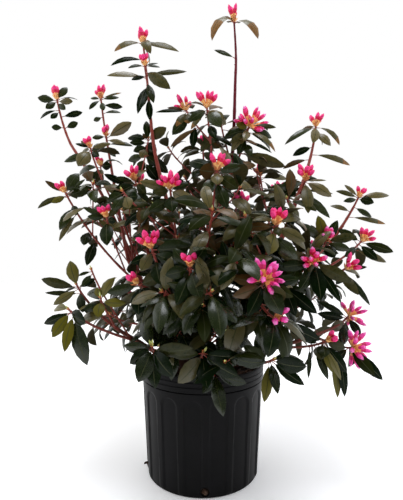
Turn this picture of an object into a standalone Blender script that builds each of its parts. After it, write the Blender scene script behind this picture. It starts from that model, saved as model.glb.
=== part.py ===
"""Potted rhododendron: a fluted nursery pot, its soil, fifteen limbs and the leafy masses they carry.

Metres, +Z up.  The origin is the middle of the pot's flat underside; the front of the plant faces -Y.
"""
import math
import random

import bmesh
import bpy
from mathutils import Matrix, Vector
from mathutils.bvhtree import BVHTree

for old in list(bpy.data.objects):
    bpy.data.objects.remove(old, do_unlink=True)

# ---------------------------------------------------------------- driving dimensions (metres)
POT_HEIGHT = 0.265          # underside to the top of the rim
POT_TOP_R = 0.150           # outside of the rim
POT_WALL_TOP_R = 0.1478     # wall just under the rim band
POT_BASE_R = 0.1362         # wall at the base
POT_WALL = 0.0024           # wall thickness at the flutes
POT_FLOOR = 0.0035          # thickness of the floor
BAND_Z = 0.231              # lower line of the stepped rim band
FLUTES = 16
FLUTE_DEPTH = 0.0030
FLUTE_TOP = 0.216           # top of the round-headed flutes
FLUTE_TURN = -8.5           # degrees, first flute's middle from the front
HOLE_R = 0.0105             # drain holes, low in the wall
SOIL_Z = 0.236              # top of the soil
GAP = 0.0003                # clearance between separate pieces
GOLDEN = math.radians(137.5)    # turn from one leaf to the next
FORK = math.radians(42.0)       # angle at which a twig leaves its stem
LEAF = 0.074                # ordinary leaf, stalk to tip
LEAF_WIDTH = 0.47           # of its length
LEAF_THICK = 0.0024
WHORL = 6                   # leaves round a shoot's tip
LOWER = 2                   # leaves further down a shoot that ends in a head
BUD = 0.026                 # one closed flower bud
TIP_R = 0.0022              # shoot at its tip
SUNK = 0.0010               # a leaf's root starts this far beyond its shoot's middle line
FRONT = Vector((0.0, -1.0, -0.3))       # the way a leaf turns its face to be seen
REACH = Vector((0.480, 0.40, 1.16))     # nothing grows past this half width, half depth, height

# name, parent, where on the parent (a share of its length) or on the soil, guide points, foot and tip radius
LIMBS = (
    ("left_stem", None, (-0.040, 0.010), ((-0.108, 0.010, 0.375), (-0.176, 0.005, 0.500)), 0.0085, 0.0058),
    ("far_left_bough", "left_stem", 0.88, ((-0.255, 0.040, 0.672), (-0.350, 0.058, 0.822)), 0.0044, 0.0034),
    ("left_top_bough", "left_stem", 1.0, ((-0.218, 0.040, 0.640), (-0.246, 0.075, 0.763)), 0.0050, 0.0034),
    ("left_centre_stem", None, (-0.018, 0.014), ((-0.052, 0.000, 0.450), (-0.085, -0.012, 0.640)), 0.0085, 0.0056),
    ("left_spire_bough", "left_centre_stem", 1.0, ((-0.118, -0.012, 0.780), (-0.133, -0.010, 0.905)), 0.0054, 0.0034),
    ("spire_stem", None, (0.004, 0.034), ((0.034, 0.034, 0.480), (0.074, 0.028, 0.760), (0.084, 0.020, 0.995)),
     0.0085, 0.0034),
    ("right_centre_stem", None, (0.026, 0.004), ((0.112, 0.000, 0.450), (0.190, -0.012, 0.560), (0.246, -0.005, 0.700)),
     0.0105, 0.0046),
    ("right_stem", None, (0.050, 0.018), ((0.135, 0.014, 0.365), (0.240, 0.012, 0.478), (0.335, 0.015, 0.572)),
     0.0085, 0.0044),
    ("front_stem", None, (-0.006, -0.026), ((-0.014, -0.100, 0.345), (-0.010, -0.165, 0.430)), 0.0075, 0.0048),
    ("front_right_stem", None, (0.028, -0.028), ((0.072, -0.110, 0.345), (0.108, -0.165, 0.430)), 0.0075, 0.0050),
    ("low_left_stem", None, (-0.048, -0.022), ((-0.110, -0.085, 0.306), (-0.188, -0.100, 0.358)), 0.0065, 0.0042),
    ("low_right_stem", None, (0.056, -0.014), ((0.130, -0.080, 0.300), (0.215, -0.100, 0.334)), 0.0065, 0.0042),
    ("back_stem", None, (0.008, 0.062), ((0.010, 0.140, 0.400), (0.015, 0.190, 0.600)), 0.0080, 0.0050),
    ("back_left_stem", None, (-0.034, 0.050), ((-0.100, 0.130, 0.370), (-0.158, 0.180, 0.520)), 0.0080, 0.0050),
    ("back_right_stem", None, (0.044, 0.052), ((0.115, 0.130, 0.350), (0.190, 0.172, 0.500)), 0.0080, 0.0050),
)

# name, limb, share of the limb, heads (x, y, z, flower buds), extra twigs, leaf length factor, droop
MASSES = (
    ("spire", "spire_stem", 1.0, ((0.080, 0.020, 1.124, 3),), 0, 0.80, 0.45),
    ("left_spire", "left_spire_bough", 1.0, ((-0.146, -0.020, 1.047, 4), (-0.137, -0.056, 0.976, 2)), 0, 0.95, 0.45),
    ("far_left", "far_left_bough", 1.0, ((-0.387, 0.060, 0.942, 4),), 0, 0.66, 0.30),
    ("left_top", "left_top_bough", 1.0, ((-0.278, 0.090, 0.957, 3), (-0.256, 0.060, 0.845, 2)), 0, 0.66, 0.30),
    ("left_upper", "left_stem", 0.94, ((-0.276, -0.020, 0.792, 2), (-0.258, 0.010, 0.755, 1)), 0, 0.90, 0.45),
    ("left_outer", "left_stem", 0.80, ((-0.327, -0.050, 0.677, 1), (-0.212, -0.120, 0.612, 3)), 1, 1.00, 0.50),
    ("upper_left", "left_centre_stem", 0.74, ((-0.161, -0.050, 0.705, 3), (-0.127, -0.100, 0.639, 0), (-0.137, 0.010, 0.822, 0)),
     0, 1.0, 0.5),
    ("centre_left", "left_centre_stem", 0.55, ((-0.070, -0.140, 0.670, 3),), 1, 1.00, 0.50),
    ("top_pair", "spire_stem", 0.52, ((0.010, -0.040, 0.882, 2), (-0.042, 0.020, 0.898, 3)), 0, 0.95, 0.45),
    ("top_right", "spire_stem", 0.66, ((0.116, 0.000, 0.850, 6),), 0, 1.00, 0.45),
    ("top_right_back", "right_centre_stem", 0.66, ((0.160, 0.110, 0.750, 2),), 0, 0.95, 0.45),
    ("centre", "front_stem", 0.80, ((0.030, -0.160, 0.705, 3),), 1, 1.00, 0.50),
    ("centre_back", "spire_stem", 0.30, ((0.088, -0.100, 0.636, 2),), 1, 1.00, 0.55),
    ("right_top", "right_centre_stem", 1.0, ((0.292, 0.030, 0.860, 2),), 0, 0.90, 0.50),
    ("right_mid_top", "right_centre_stem", 0.86, ((0.235, -0.080, 0.700, 5),), 0, 1.00, 0.50),
    ("right_outer_top", "right_stem", 1.0, ((0.398, 0.020, 0.676, 6),), 0, 1.00, 0.55),
    ("right_outer", "right_stem", 0.66, ((0.398, 0.000, 0.563, 5), (0.329, -0.080, 0.497, 2)), 0, 1.05, 0.65),
    ("right_mid", "right_stem", 0.78, ((0.277, -0.100, 0.560, 6), (0.230, -0.165, 0.512, 3)), 0, 1.05, 0.60),
    ("front_right", "front_right_stem", 0.85, ((0.146, -0.195, 0.588, 5),), 0, 1.05, 0.60),
    ("front_big", "front_right_stem", 1.0, ((0.113, -0.260, 0.480, 10), (0.136, -0.255, 0.410, 5)), 0, 1.10, 0.65),
    ("front_centre", "front_stem", 1.0, ((-0.023, -0.260, 0.506, 3), (0.055, -0.205, 0.492, 1)), 0, 1.05, 0.60),
    ("front_left", "front_stem", 0.62, ((-0.100, -0.215, 0.541, 3), (-0.130, -0.200, 0.470, 2)), 0, 1.05, 0.60),
    ("low_left_high", "low_left_stem", 1.0, ((-0.289, -0.080, 0.458, 0), (-0.217, -0.150, 0.436, 0)), 0, 1.0, 0.5),
    ("low_left_out", "low_left_stem", 0.78, ((-0.285, -0.145, 0.410, 0),), 1, 1.10, 1.00),
    ("low_left_front", "low_left_stem", 0.45, ((-0.098, -0.225, 0.350, 0),), 0, 1.15, 0.70),
    ("low_front", "front_stem", 0.36, ((0.001, -0.222, 0.338, 0), (0.028, -0.196, 0.291, 0)), 0, 1.15, 0.80),
    ("low_front_right", "front_right_stem", 0.36, ((0.135, -0.230, 0.326, 0),), 0, 1.15, 0.80),
    ("low_right", "low_right_stem", 0.78, ((0.263, -0.150, 0.345, 1),), 0, 1.10, 0.80),
    ("low_right_out", "low_right_stem", 1.0, ((0.350, -0.040, 0.381, 7), (0.330, -0.115, 0.323, 9)), 0, 1.1, 0.75),
    ("inner_left", "left_centre_stem", 0.36, ((-0.115, -0.105, 0.440, 0),), 1, 1.05, 0.60),
    ("inner_right", "right_centre_stem", 0.38, ((0.185, -0.095, 0.462, 0),), 1, 1.05, 0.60),
    ("back_top", "back_stem", 1.0, ((0.000, 0.150, 0.840, 2),), 1, 0.95, 0.50),
    ("back_high_left", "back_left_stem", 1.0, ((-0.190, 0.200, 0.740, 2), (-0.100, 0.180, 0.650, 0)), 0, 1.00, 0.50),
    ("back_high_right", "back_right_stem", 1.0, ((0.230, 0.195, 0.715, 3), (0.130, 0.210, 0.650, 1)), 0, 1.00, 0.50),
    ("back_centre", "back_stem", 0.80, ((0.050, 0.300, 0.655, 2),), 1, 1.00, 0.55),
    ("back_mid_left", "back_left_stem", 0.80, ((-0.110, 0.300, 0.570, 2),), 1, 1.05, 0.55),
    ("back_mid_right", "back_right_stem", 0.80, ((0.165, 0.300, 0.560, 2),), 1, 1.05, 0.55),
    ("back_left_out", "back_left_stem", 0.66, ((-0.240, 0.200, 0.665, 2),), 1, 1.05, 0.55),
    ("back_right_out", "back_right_stem", 0.66, ((0.330, 0.180, 0.540, 3),), 1, 1.05, 0.55),
    ("back_low", "back_stem", 0.38, ((0.010, 0.290, 0.400, 0), (0.085, 0.250, 0.340, 0)), 0, 1.10, 0.70),
    ("back_low_left", "back_left_stem", 0.42, ((-0.215, 0.215, 0.400, 1), (-0.125, 0.265, 0.350, 0)), 0, 1.1, 0.7),
    ("back_low_right", "back_right_stem", 0.40, ((0.240, 0.200, 0.385, 1), (0.315, 0.090, 0.420, 0)), 0, 1.1, 0.7),
    ("left_side_low", "left_stem", 0.40, ((-0.245, 0.060, 0.372, 1),), 1, 1.05, 0.60),
)

UP = Vector((0.0, 0.0, 1.0))

# Leaves set by hand round the heads that stand clear: the distance of the root behind the shoot's tip, the leaf's
# tip seen from the shoot's tip, its width (all mm), and how far its face is turned to the front.
SET_LEAVES = {
    ("spire", 0): (
        (8, (-59, -12, -70), 23, 0.35), (6, (60, -8, -59), 23, 0.35), (12, (28, -26, -30), 13, 0.5),
        (96, (-49, -4, -76), 13, 0.6), (10, (-34, 40, -40), 17, 0.3), (14, (30, 44, -46), 17, 0.3)),
    ("left_spire", 0): (
        (4, (-68, -6, -30), 20, 0.6), (3, (25, -30, -50), 24, 0.7), (6, (87, 4, -24), 21, 0.6),
        (2, (34, 10, 2), 9, 0.5), (46, (-76, -8, -66), 16, 0.6), (10, (8, 34, -36), 20, 0.5)),
    ("left_spire", 1): (
        (4, (36, -6, -11), 10, 0.5), (3, (29, 12, 8), 11, 0.5), (5, (-36, -14, -18), 10, 0.6),
        (32, (-89, 6, -27), 17, 0.6), (27, (-28, -14, -44), 13, 0.7), (16, (64, -20, -68), 29, 0.9),
        (26, (98, 10, -14), 18, 0.6), (42, (20, 10, -88), 19, 0.7), (62, (-14, -8, -122), 20, 0.7)),
    ("far_left", 0): (
        (6, (-47, -4, 1), 22, 0.8), (8, (-22, -16, -32), 19, 0.9), (3, (25, 6, 31), 21, 0.9),
        (5, (53, 8, -4), 10, 0.4), (8, (46, -12, -12), 18, 0.8), (12, (28, -14, -34), 17, 0.8),
        (32, (-43, 6, -54), 14, 0.6), (36, (-10, -12, -56), 17, 0.8), (50, (65, 4, -35), 18, 0.8),
        (80, (-9, -6, -77), 17, 0.8), (82, (54, 0, -64), 20, 0.8)),
    ("left_top", 0): (
        (2, (54, 4, 14), 7, 0.6), (6, (51, -6, -4), 13, 0.7), (20, (57, 4, -24), 17, 0.8),
        (46, (56, -6, -46), 11, 0.6), (7, (-28, -8, -36), 14, 0.7), (10, (12, -14, -40), 17, 0.8),
        (54, (-16, -6, -64), 14, 0.8), (5, (-30, 14, 4), 12, 0.6)),
    ("left_top", 1): (
        (8, (68, -6, 32), 30, 0.9), (4, (-34, -6, -9), 15, 0.7), (24, (-34, -14, -46), 24, 0.9),
        (14, (54, -10, -27), 14, 0.7), (28, (73, 0, -32), 14, 0.6), (34, (30, -16, -62), 16, 0.8)),
    ("left_upper", 0): (
        (4, (-33, -4, 5), 10, 0.6), (3, (-24, 10, 16), 12, 0.6), (6, (50, 0, 7), 14, 0.7),
        (9, (-22, -22, -54), 36, 0.9), (16, (-60, -4, -38), 19, 0.8), (12, (30, -24, -30), 18, 0.8)),
    ("left_upper", 1): (
        (6, (30, -10, -4), 22, 0.8), (10, (8, -16, -30), 12, 0.8), (26, (62, -6, -50), 18, 0.8),
        (18, (-32, -10, -42), 20, 0.8)),
    ("left_outer", 0): (
        (4, (-43, -6, 24), 13, 0.8), (6, (31, 8, 43), 32, 0.8), (8, (48, 0, 28), 12, 0.7),
        (14, (68, -8, 8), 26, 0.8), (14, (-60, -4, -43), 16, 0.6), (10, (-24, -16, -28), 16, 0.8),
        (34, (34, -12, -56), 20, 0.8), (40, (-6, -14, -92), 22, 0.9), (58, (-8, -10, -118), 16, 0.7)),
    ("top_pair", 0): (
        (8, (34, -22, -58), 28, 0.9), (7, (46, 4, -44), 20, 0.7), (8, (-44, -14, -42), 22, 0.8),
        (12, (-36, 14, -50), 18, 0.6), (40, (20, -20, -84), 22, 0.8)),
    ("top_pair", 1): (
        (3, (-25, 0, 34), 9, 0.6), (5, (-48, 6, 6), 13, 0.6), (8, (-76, -4, -10), 12, 0.6),
        (20, (-34, -18, -70), 24, 0.9), (10, (6, -22, -44), 18, 0.8), (6, (36, 12, -22), 20, 0.7),
        (52, (18, -16, -104), 22, 0.8), (64, (-38, -6, -98), 15, 0.7)),
    ("right_top", 0): (
        (6, (-82, -4, -54), 17, 0.6), (3, (-32, 6, -8), 11, 0.6), (4, (-18, -28, -54), 25, 0.9),
        (5, (56, -2, -55), 17, 0.6), (20, (32, -14, -57), 22, 0.8), (60, (-60, -4, -79), 19, 0.7),
        (82, (83, 0, -104), 20, 0.6), (96, (-80, 8, -110), 16, 0.6), (10, (22, 34, -40), 18, 0.5)),
    ("right_mid_top", 0): (
        (6, (-68, -8, -23), 24, 0.8), (6, (57, -8, -42), 24, 0.8), (3, (28, 12, 4), 14, 0.6),
        (4, (48, 4, -2), 8, 0.5), (6, (-4, -36, -84), 28, 0.9), (28, (63, 4, -34), 10, 0.6),
        (16, (-80, 10, -46), 28, 0.8)),
    ("right_outer_top", 0): (
        (4, (-60, -4, 12), 16, 0.6), (2, (-33, 8, 30), 12, 0.7), (8, (-44, -12, -14), 14, 0.7),
        (4, (76, 2, 1), 19, 0.6), (6, (30, -18, -18), 22, 0.8), (46, (-73, 0, -26), 15, 0.6),
        (30, (27, -8, -52), 15, 0.8), (60, (66, 4, -70), 16, 0.6)),
    ("right_outer", 0): (
        (4, (-58, 4, 28), 22, 0.8), (5, (74, -4, -28), 24, 0.8), (12, (30, -18, -48), 22, 0.9),
        (30, (56, -4, -54), 20, 0.7), (18, (-50, -14, -40), 20, 0.8)),
    ("right_outer", 1): (
        (4, (43, -8, 2), 12, 0.6), (6, (-32, -20, -36), 32, 0.9), (14, (48, -12, -85), 26, 0.8),
        (22, (18, -28, -61), 22, 0.9)),
    ("low_left_high", 0): (
        (5, (-16, 6, 54), 30, 0.9), (6, (-78, -2, 14), 24, 0.8), (8, (44, -4, 14), 16, 0.7),
        (10, (-48, -10, -44), 20, 0.8), (24, (-70, -2, -18), 12, 0.7), (16, (22, -20, -60), 22, 0.9)),
    ("low_front", 1): (
        (8, (12, -40, -72), 28, 1), (6, (58, -14, -16), 26, 0.8), (8, (-30, -34, -30), 24, 0.8)),
    ("low_front_right", 0): (
        (14, (-22, -24, -72), 22, 0.9), (10, (2, -34, -54), 20, 0.9), (8, (55, -12, -44), 22, 0.8),
        (5, (58, -20, -6), 34, 0.9)),
}


# ---------------------------------------------------------------- meshes and materials
def material(name, colour, rough):
    mat = bpy.data.materials.new(name)
    mat.use_nodes = True
    shader = mat.node_tree.nodes["Principled BSDF"]
    shader.inputs["Base Color"].default_value = (*colour, 1.0)
    shader.inputs["Roughness"].default_value = rough
    shader.inputs["Metallic"].default_value = 0.0
    mat.diffuse_color = (*colour, 1.0)
    return mat


def new_object(name, verts, faces, colour, rough, smooth_deg=None):
    mesh = bpy.data.meshes.new(name)
    mesh.from_pydata([tuple(v) for v in verts], [], faces)
    mesh.update()
    if smooth_deg is not None:
        mesh.shade_smooth()
        mesh.set_sharp_from_angle(angle=math.radians(smooth_deg))
    obj = bpy.data.objects.new(name, mesh)
    bpy.context.scene.collection.objects.link(obj)
    if colour is not None:
        mesh.materials.append(material(name, colour, rough))
    return obj


def rings_to_solid(rings):
    """Closed skin over rings of equal count: sides in triangles, and a flat cap at each end."""
    n = len(rings[0])
    verts = [v for ring in rings for v in ring]
    faces = [tuple(reversed(range(n)))]
    for k in range(len(rings) - 1):
        a, b = k * n, (k + 1) * n
        for i in range(n):
            j = (i + 1) % n
            faces += [(a + i, a + j, b + j), (a + i, b + j, b + i)]
    faces.append(tuple(range(len(verts) - n, len(verts))))
    return verts, faces


# ---------------------------------------------------------------- pot and soil
def flute_share(angle):
    """0 on a rib, 1 down the middle of a flute; angle in degrees from the front."""
    pitch = 360.0 / FLUTES
    off = abs((angle - FLUTE_TURN + pitch / 2) % pitch - pitch / 2)
    return max(0.0, 1.0 - off / (pitch * 0.38))


def wall_r(z):
    return POT_BASE_R + (POT_WALL_TOP_R - POT_BASE_R) * z / BAND_Z


def inner_r(z):
    return wall_r(z) - FLUTE_DEPTH - POT_WALL


def ring(radius, z, flute=0.0):
    pitch = 360.0 / FLUTES
    points = []
    for k in range(FLUTES):
        for off in (-0.38, 0.0, 0.38):
            angle = FLUTE_TURN + pitch * (k + off)
            r = radius - flute * FLUTE_DEPTH * flute_share(angle)
            a = math.radians(angle - 90.0)
            points.append(Vector((r * math.cos(a), r * math.sin(a), z)))
    return points


def build_pot():
    band = POT_TOP_R
    outer = [ring(POT_BASE_R - 0.004, 0.0), ring(wall_r(0.006), 0.006, 1.0), ring(wall_r(0.200), 0.200, 1.0),
             ring(wall_r(FLUTE_TOP), FLUTE_TOP, 0.0), ring(POT_WALL_TOP_R, BAND_Z - 0.003),
             ring(POT_WALL_TOP_R - 0.0030, BAND_Z), ring(band - 0.0010, BAND_Z + 0.003),
             ring(band, POT_HEIGHT - 0.002), ring(band - 0.0010, POT_HEIGHT)]
    inner = [ring(band - 0.0036, POT_HEIGHT), ring(inner_r(BAND_Z - 0.004), BAND_Z - 0.004),
             ring(inner_r(POT_FLOOR), POT_FLOOR)]
    verts, faces = rings_to_solid(outer + inner)
    pot = new_object("pot", verts, faces, (0.010, 0.010, 0.011), 0.42, 32.0)
    for k in range(4):
        angle = math.radians(-88.0 + 90.0 * k)
        bpy.ops.mesh.primitive_cylinder_add(vertices=6, radius=HOLE_R, depth=0.030)
        cutter = bpy.context.object
        cutter.name = "drain_cutter"
        mid = Vector((POT_BASE_R * math.cos(angle), POT_BASE_R * math.sin(angle), 0.0150))
        cutter.matrix_world = (Matrix.Translation(mid) @ Matrix.Rotation(angle, 4, "Z")
                               @ Matrix.Rotation(math.radians(90.0), 4, "Y"))
        cut = pot.modifiers.new("drain", "BOOLEAN")
        cut.operation = "DIFFERENCE"
        cut.object = cutter
        bpy.context.view_layer.update()
        apply_modifiers(pot)
        bpy.data.objects.remove(cutter, do_unlink=True)
    return pot


def build_soil():
    low, high = POT_FLOOR + GAP, BAND_Z - 0.004
    rings = [ring(inner_r(low) - GAP, low), ring(inner_r(high) - GAP, high), ring(inner_r(high) - 0.010, SOIL_Z)]
    verts, faces = rings_to_solid(rings)
    return new_object("soil", verts, faces, (0.045, 0.030, 0.020), 0.95, 40.0)


def apply_modifiers(obj):
    graph = bpy.context.evaluated_depsgraph_get()
    mesh = bpy.data.meshes.new_from_object(obj.evaluated_get(graph))
    mesh.name = obj.name
    old = obj.data
    obj.modifiers.clear()
    obj.data = mesh
    bpy.data.meshes.remove(old)


# ---------------------------------------------------------------- paths and tubes
def bezier(p0, p1, p2, p3, steps):
    out = []
    for k in range(steps + 1):
        t = k / steps
        out.append(p0 * (1 - t) ** 3 + p1 * 3 * t * (1 - t) ** 2 + p2 * 3 * t * t * (1 - t) + p3 * t ** 3)
    return out


def through(points, steps):
    """A smooth path through its guide points."""
    out = [points[0]]
    last = len(points) - 1
    for k in range(last):
        a, b = points[k], points[k + 1]
        before = points[k - 1] if k else a - (b - a) * 0.6
        after = points[k + 2] if k + 2 <= last else b + (b - a) * 0.6
        out += bezier(a, a + (b - before) / 6, b - (after - a) / 6, b, steps)[1:]
    return out


class Tube:
    """A tapering bent tube with a flat foot, remembered so that others can branch from it."""

    def __init__(self, path, r0, r1, sides, foot_normal=None):
        self.path = path
        self.sides = sides
        self.lengths = [0.0]
        for a, b in zip(path, path[1:]):
            self.lengths.append(self.lengths[-1] + (b - a).length)
        self.total = self.lengths[-1]
        self.radii = [r0 + (r1 - r0) * s / self.total for s in self.lengths]
        self.tangents = []
        for k in range(len(path)):
            a, b = path[max(k - 1, 0)], path[min(k + 1, len(path) - 1)]
            self.tangents.append((b - a).normalized())
        first = (foot_normal or self.tangents[0]).normalized()
        u = first.orthogonal().normalized()
        self.rings = []
        for k, point in enumerate(path):
            axis = first if k == 0 else self.tangents[k]
            u = (u - axis * u.dot(axis)).normalized()
            v = axis.cross(u)
            self.rings.append([point + (u * math.cos(2 * math.pi * i / sides) + v * math.sin(2 * math.pi * i / sides))
                               * self.radii[k] for i in range(sides)])
        self.verts, self.faces = rings_to_solid(self.rings)

    def at(self, s):
        """Point, direction and radius at a length s from the foot."""
        s = min(max(s, 0.0), self.total)
        for k in range(1, len(self.path)):
            if s <= self.lengths[k] or k == len(self.path) - 1:
                f = (s - self.lengths[k - 1]) / (self.lengths[k] - self.lengths[k - 1])
                point = self.path[k - 1].lerp(self.path[k], f)
                tangent = self.tangents[k - 1].lerp(self.tangents[k], f).normalized()
                return point, tangent, self.radii[k - 1] + (self.radii[k] - self.radii[k - 1]) * f

    def socket(self, share, toward):
        """Where a neighbour's flat foot stands: just clear of the tip, or of the side face nearest its way."""
        if share >= 0.999:
            normal = self.tangents[-1]
            return self.path[-1] + normal * GAP, normal, normal
        s = self.total * share
        point, tangent, _ = self.at(s)
        best = None
        k = max(j for j in range(len(self.lengths) - 1) if self.lengths[j] <= s + 1e-9)
        f = (s - self.lengths[k]) / (self.lengths[k + 1] - self.lengths[k])
        way = toward - point
        way = (way - tangent * way.dot(tangent)).normalized()
        for i in range(self.sides):
            j = (i + 1) % self.sides
            a, b = self.rings[k][i], self.rings[k][j]
            c, d = self.rings[k + 1][j], self.rings[k + 1][i]
            normal = (c - a).cross(d - b).normalized()
            mid = (a.lerp(d, f) + b.lerp(c, f)) / 2
            if best is None or normal.dot(way) > best[0]:
                high = max((p - mid).dot(normal) for p in (a, b, c, d))
                best = (normal.dot(way), mid + normal * (GAP + max(0.0, high)), normal)
        return best[1], best[2], tangent


def swollen(verts, amount):
    """The same shape a little swollen about its middle, to test clearances with."""
    mid = sum(verts, Vector()) / len(verts)
    return [v + (v - mid).normalized() * amount for v in verts]


class Space:
    """What is already placed, piece by piece, so that nothing new grows into it."""

    def __init__(self):
        self.items = []

    def add(self, owner, verts, faces):
        mid = sum(verts, Vector()) / len(verts)
        reach = max((v - mid).length for v in verts)
        self.items.append((owner, mid, reach, BVHTree.FromPolygons(verts, faces)))

    def free(self, verts, faces, ignore=()):
        mid = sum(verts, Vector()) / len(verts)
        reach = max((v - mid).length for v in verts)
        tree = None
        for owner, centre, radius, other in self.items:
            if owner in ignore or (centre - mid).length > reach + radius:
                continue
            tree = tree or BVHTree.FromPolygons(verts, faces)
            if tree.overlap(other):
                return False
        return True


def in_reach(verts):
    for v in verts:
        if abs(v.x) > REACH.x or abs(v.y) > REACH.y or v.z > REACH.z or v.z < 0.150:
            return False
        if v.z < POT_HEIGHT + 0.004 and math.hypot(v.x, v.y) < POT_TOP_R + 0.004 and v.z < SOIL_Z + 0.006:
            return False
        if v.z < POT_HEIGHT + 0.002 and POT_TOP_R - 0.010 < math.hypot(v.x, v.y) < POT_TOP_R + 0.003:
            return False
    return True


def swollen_tube(tube, amount):
    """A tube's skin moved out by amount, without its foot."""
    verts = []
    for k, ring_points in enumerate(tube.rings):
        verts += [p + (p - tube.path[k]).normalized() * amount for p in ring_points]
    return verts


def branch_path(start, normal, along, tip, lift, steps, rng, spread):
    """From a foot on a limb, out and up to the tip."""
    chord = tip - start
    length = chord.length
    out = (normal * 0.8 + along * 0.9 + chord.normalized() * 0.8).normalized()
    end = (chord.normalized() + UP * lift).normalized()
    wander = Vector((rng.uniform(-1, 1), rng.uniform(-1, 1), rng.uniform(-0.4, 0.4))) * spread
    return bezier(start, start + out * length * 0.30 + wander, tip - end * length * 0.32 + wander, tip, steps)


# ---------------------------------------------------------------- leaves and buds
def leaf_solid(root, way, up, length, width):
    """Six faces: a pointed blade, arched and slightly roofed, thick enough to be solid."""
    side = way.cross(up).normalized()
    up = side.cross(way).normalized()
    wing = root + way * length * 0.46 + up * 0.12 * length
    ridge = root + way * length * 0.36 + up * (0.12 * length + LEAF_THICK)
    verts = [root, wing + side * width / 2, ridge, wing - side * width / 2, root + way * length]
    faces = [(0, 1, 2), (0, 2, 3), (0, 3, 1), (4, 2, 1), (4, 3, 2), (4, 1, 3)]
    return verts, faces


def leaf_poses(tube, seed, count, size, droop, start_turn, set_by_hand):
    """Leaves set by hand, then a spiral from the shoot's tip down: a close whorl and wider spaced ones."""
    poses = []
    for back, offset, width, face in set_by_hand:
        point = tube.at(max(tube.total - back / 1000, tube.total * 0.1))[0]
        chord = tube.at(tube.total)[0] + Vector(offset) / 1000 - point
        way = chord.normalized()
        up = (UP - way * way.z).normalized() * (1 - face) + (FRONT - way * way.dot(FRONT)).normalized() * face
        poses.append((point - way * SUNK, way, up.normalized(), chord.length + SUNK, width / 1000 * 1.2))
    for i in range(count):
        rng = random.Random(seed * 977 + i)
        back = 0.003 + 0.0032 * i if i < WHORL else 0.024 + 0.021 * (i - WHORL + 1)
        if back > tube.total * 0.8:
            break
        point, tangent, _ = tube.at(tube.total - back)
        side = tangent.orthogonal().normalized()
        turn = start_turn + GOLDEN * i + rng.uniform(-0.25, 0.25)
        radial = (Matrix.Rotation(turn, 3, tangent) @ side).normalized()
        lean = math.radians(min(52 + 7 * i, 92) + rng.uniform(-9, 9))
        way = (tangent * math.cos(lean) + radial * math.sin(lean)).normalized()
        way = (way - UP * droop * rng.uniform(0.7, 1.3) * math.hypot(way.x, way.y)).normalized()
        if set_by_hand and way.y < 0.45:
            continue
        up = UP * 0.7 + radial * 0.5
        up = (up - way * up.dot(way)).normalized()
        up = Matrix.Rotation(rng.uniform(-0.35, 0.35), 3, way) @ up
        length = LEAF * size * rng.uniform(0.82, 1.18)
        wide = 0.60 if size < 0.7 else LEAF_WIDTH
        poses.append((point - way * SUNK, way, up, length + SUNK, length * wide))
    return poses


def head_solid(tube, seed, buds):
    """The end of a shoot: an eight-faced bud, whose faces are drawn out into the closed flower buds."""
    rng = random.Random(seed * 31 + 7)
    tip, axis, _ = tube.at(tube.total)
    size = 0.0045 + 0.0007 * min(buds, 8) if buds else 0.0042
    u = Matrix.Rotation(rng.uniform(0, 6.28), 3, axis) @ axis.orthogonal().normalized()
    v = axis.cross(u)
    mid = tip + axis * size * 0.3
    top = mid + axis * (size if buds else 0.020)
    verts = [mid - axis * size, mid + u * size, mid + v * size, mid - u * size, mid - v * size, top]
    under = [(0, 2, 1), (0, 3, 2), (0, 4, 3), (0, 1, 4)]
    over = [(5, 1, 2), (5, 2, 3), (5, 3, 4), (5, 4, 1)]
    rng.shuffle(over)
    faces = []
    for k, face in enumerate(over + under):
        if k >= buds or (k >= 4 and buds < 7):
            faces.append(face)
            continue
        middle = sum((verts[i] for i in face), Vector()) / 3
        way = ((middle - mid).normalized() + axis * (0.55 if k < 4 else 0.35)).normalized()
        peak = len(verts)
        verts.append(mid + way * (size + BUD * rng.uniform(0.85, 1.1)))
        faces += [(face[0], face[1], peak), (face[1], face[2], peak), (face[2], face[0], peak)]
    return verts, faces


# ---------------------------------------------------------------- growing
def grow_limbs(space):
    """The stems that leave the soil and the boughs that go on from them."""
    limbs = {}
    for name, parent, place, points, r0, r1 in LIMBS:
        points = [Vector(p) for p in points]
        if parent is None:
            start = Vector((*place, SOIL_Z + GAP))
            path = through([start] + points, 2)
            tube = Tube(path, r0, r1, 5, UP)
        else:
            start, normal, along = limbs[parent].socket(place, points[0])
            first = start + (normal * 0.5 + along).normalized() * 0.030
            path = through([start, first] + points, 2)
            tube = Tube(path, r0, r1, 5, normal)
        if not space.free(swollen_tube(tube, 0.0004), tube.faces, (parent,)):
            raise RuntimeError(name + " touches another limb")
        limbs[name] = tube
        space.add(name, tube.verts, tube.faces)
    return limbs


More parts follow.
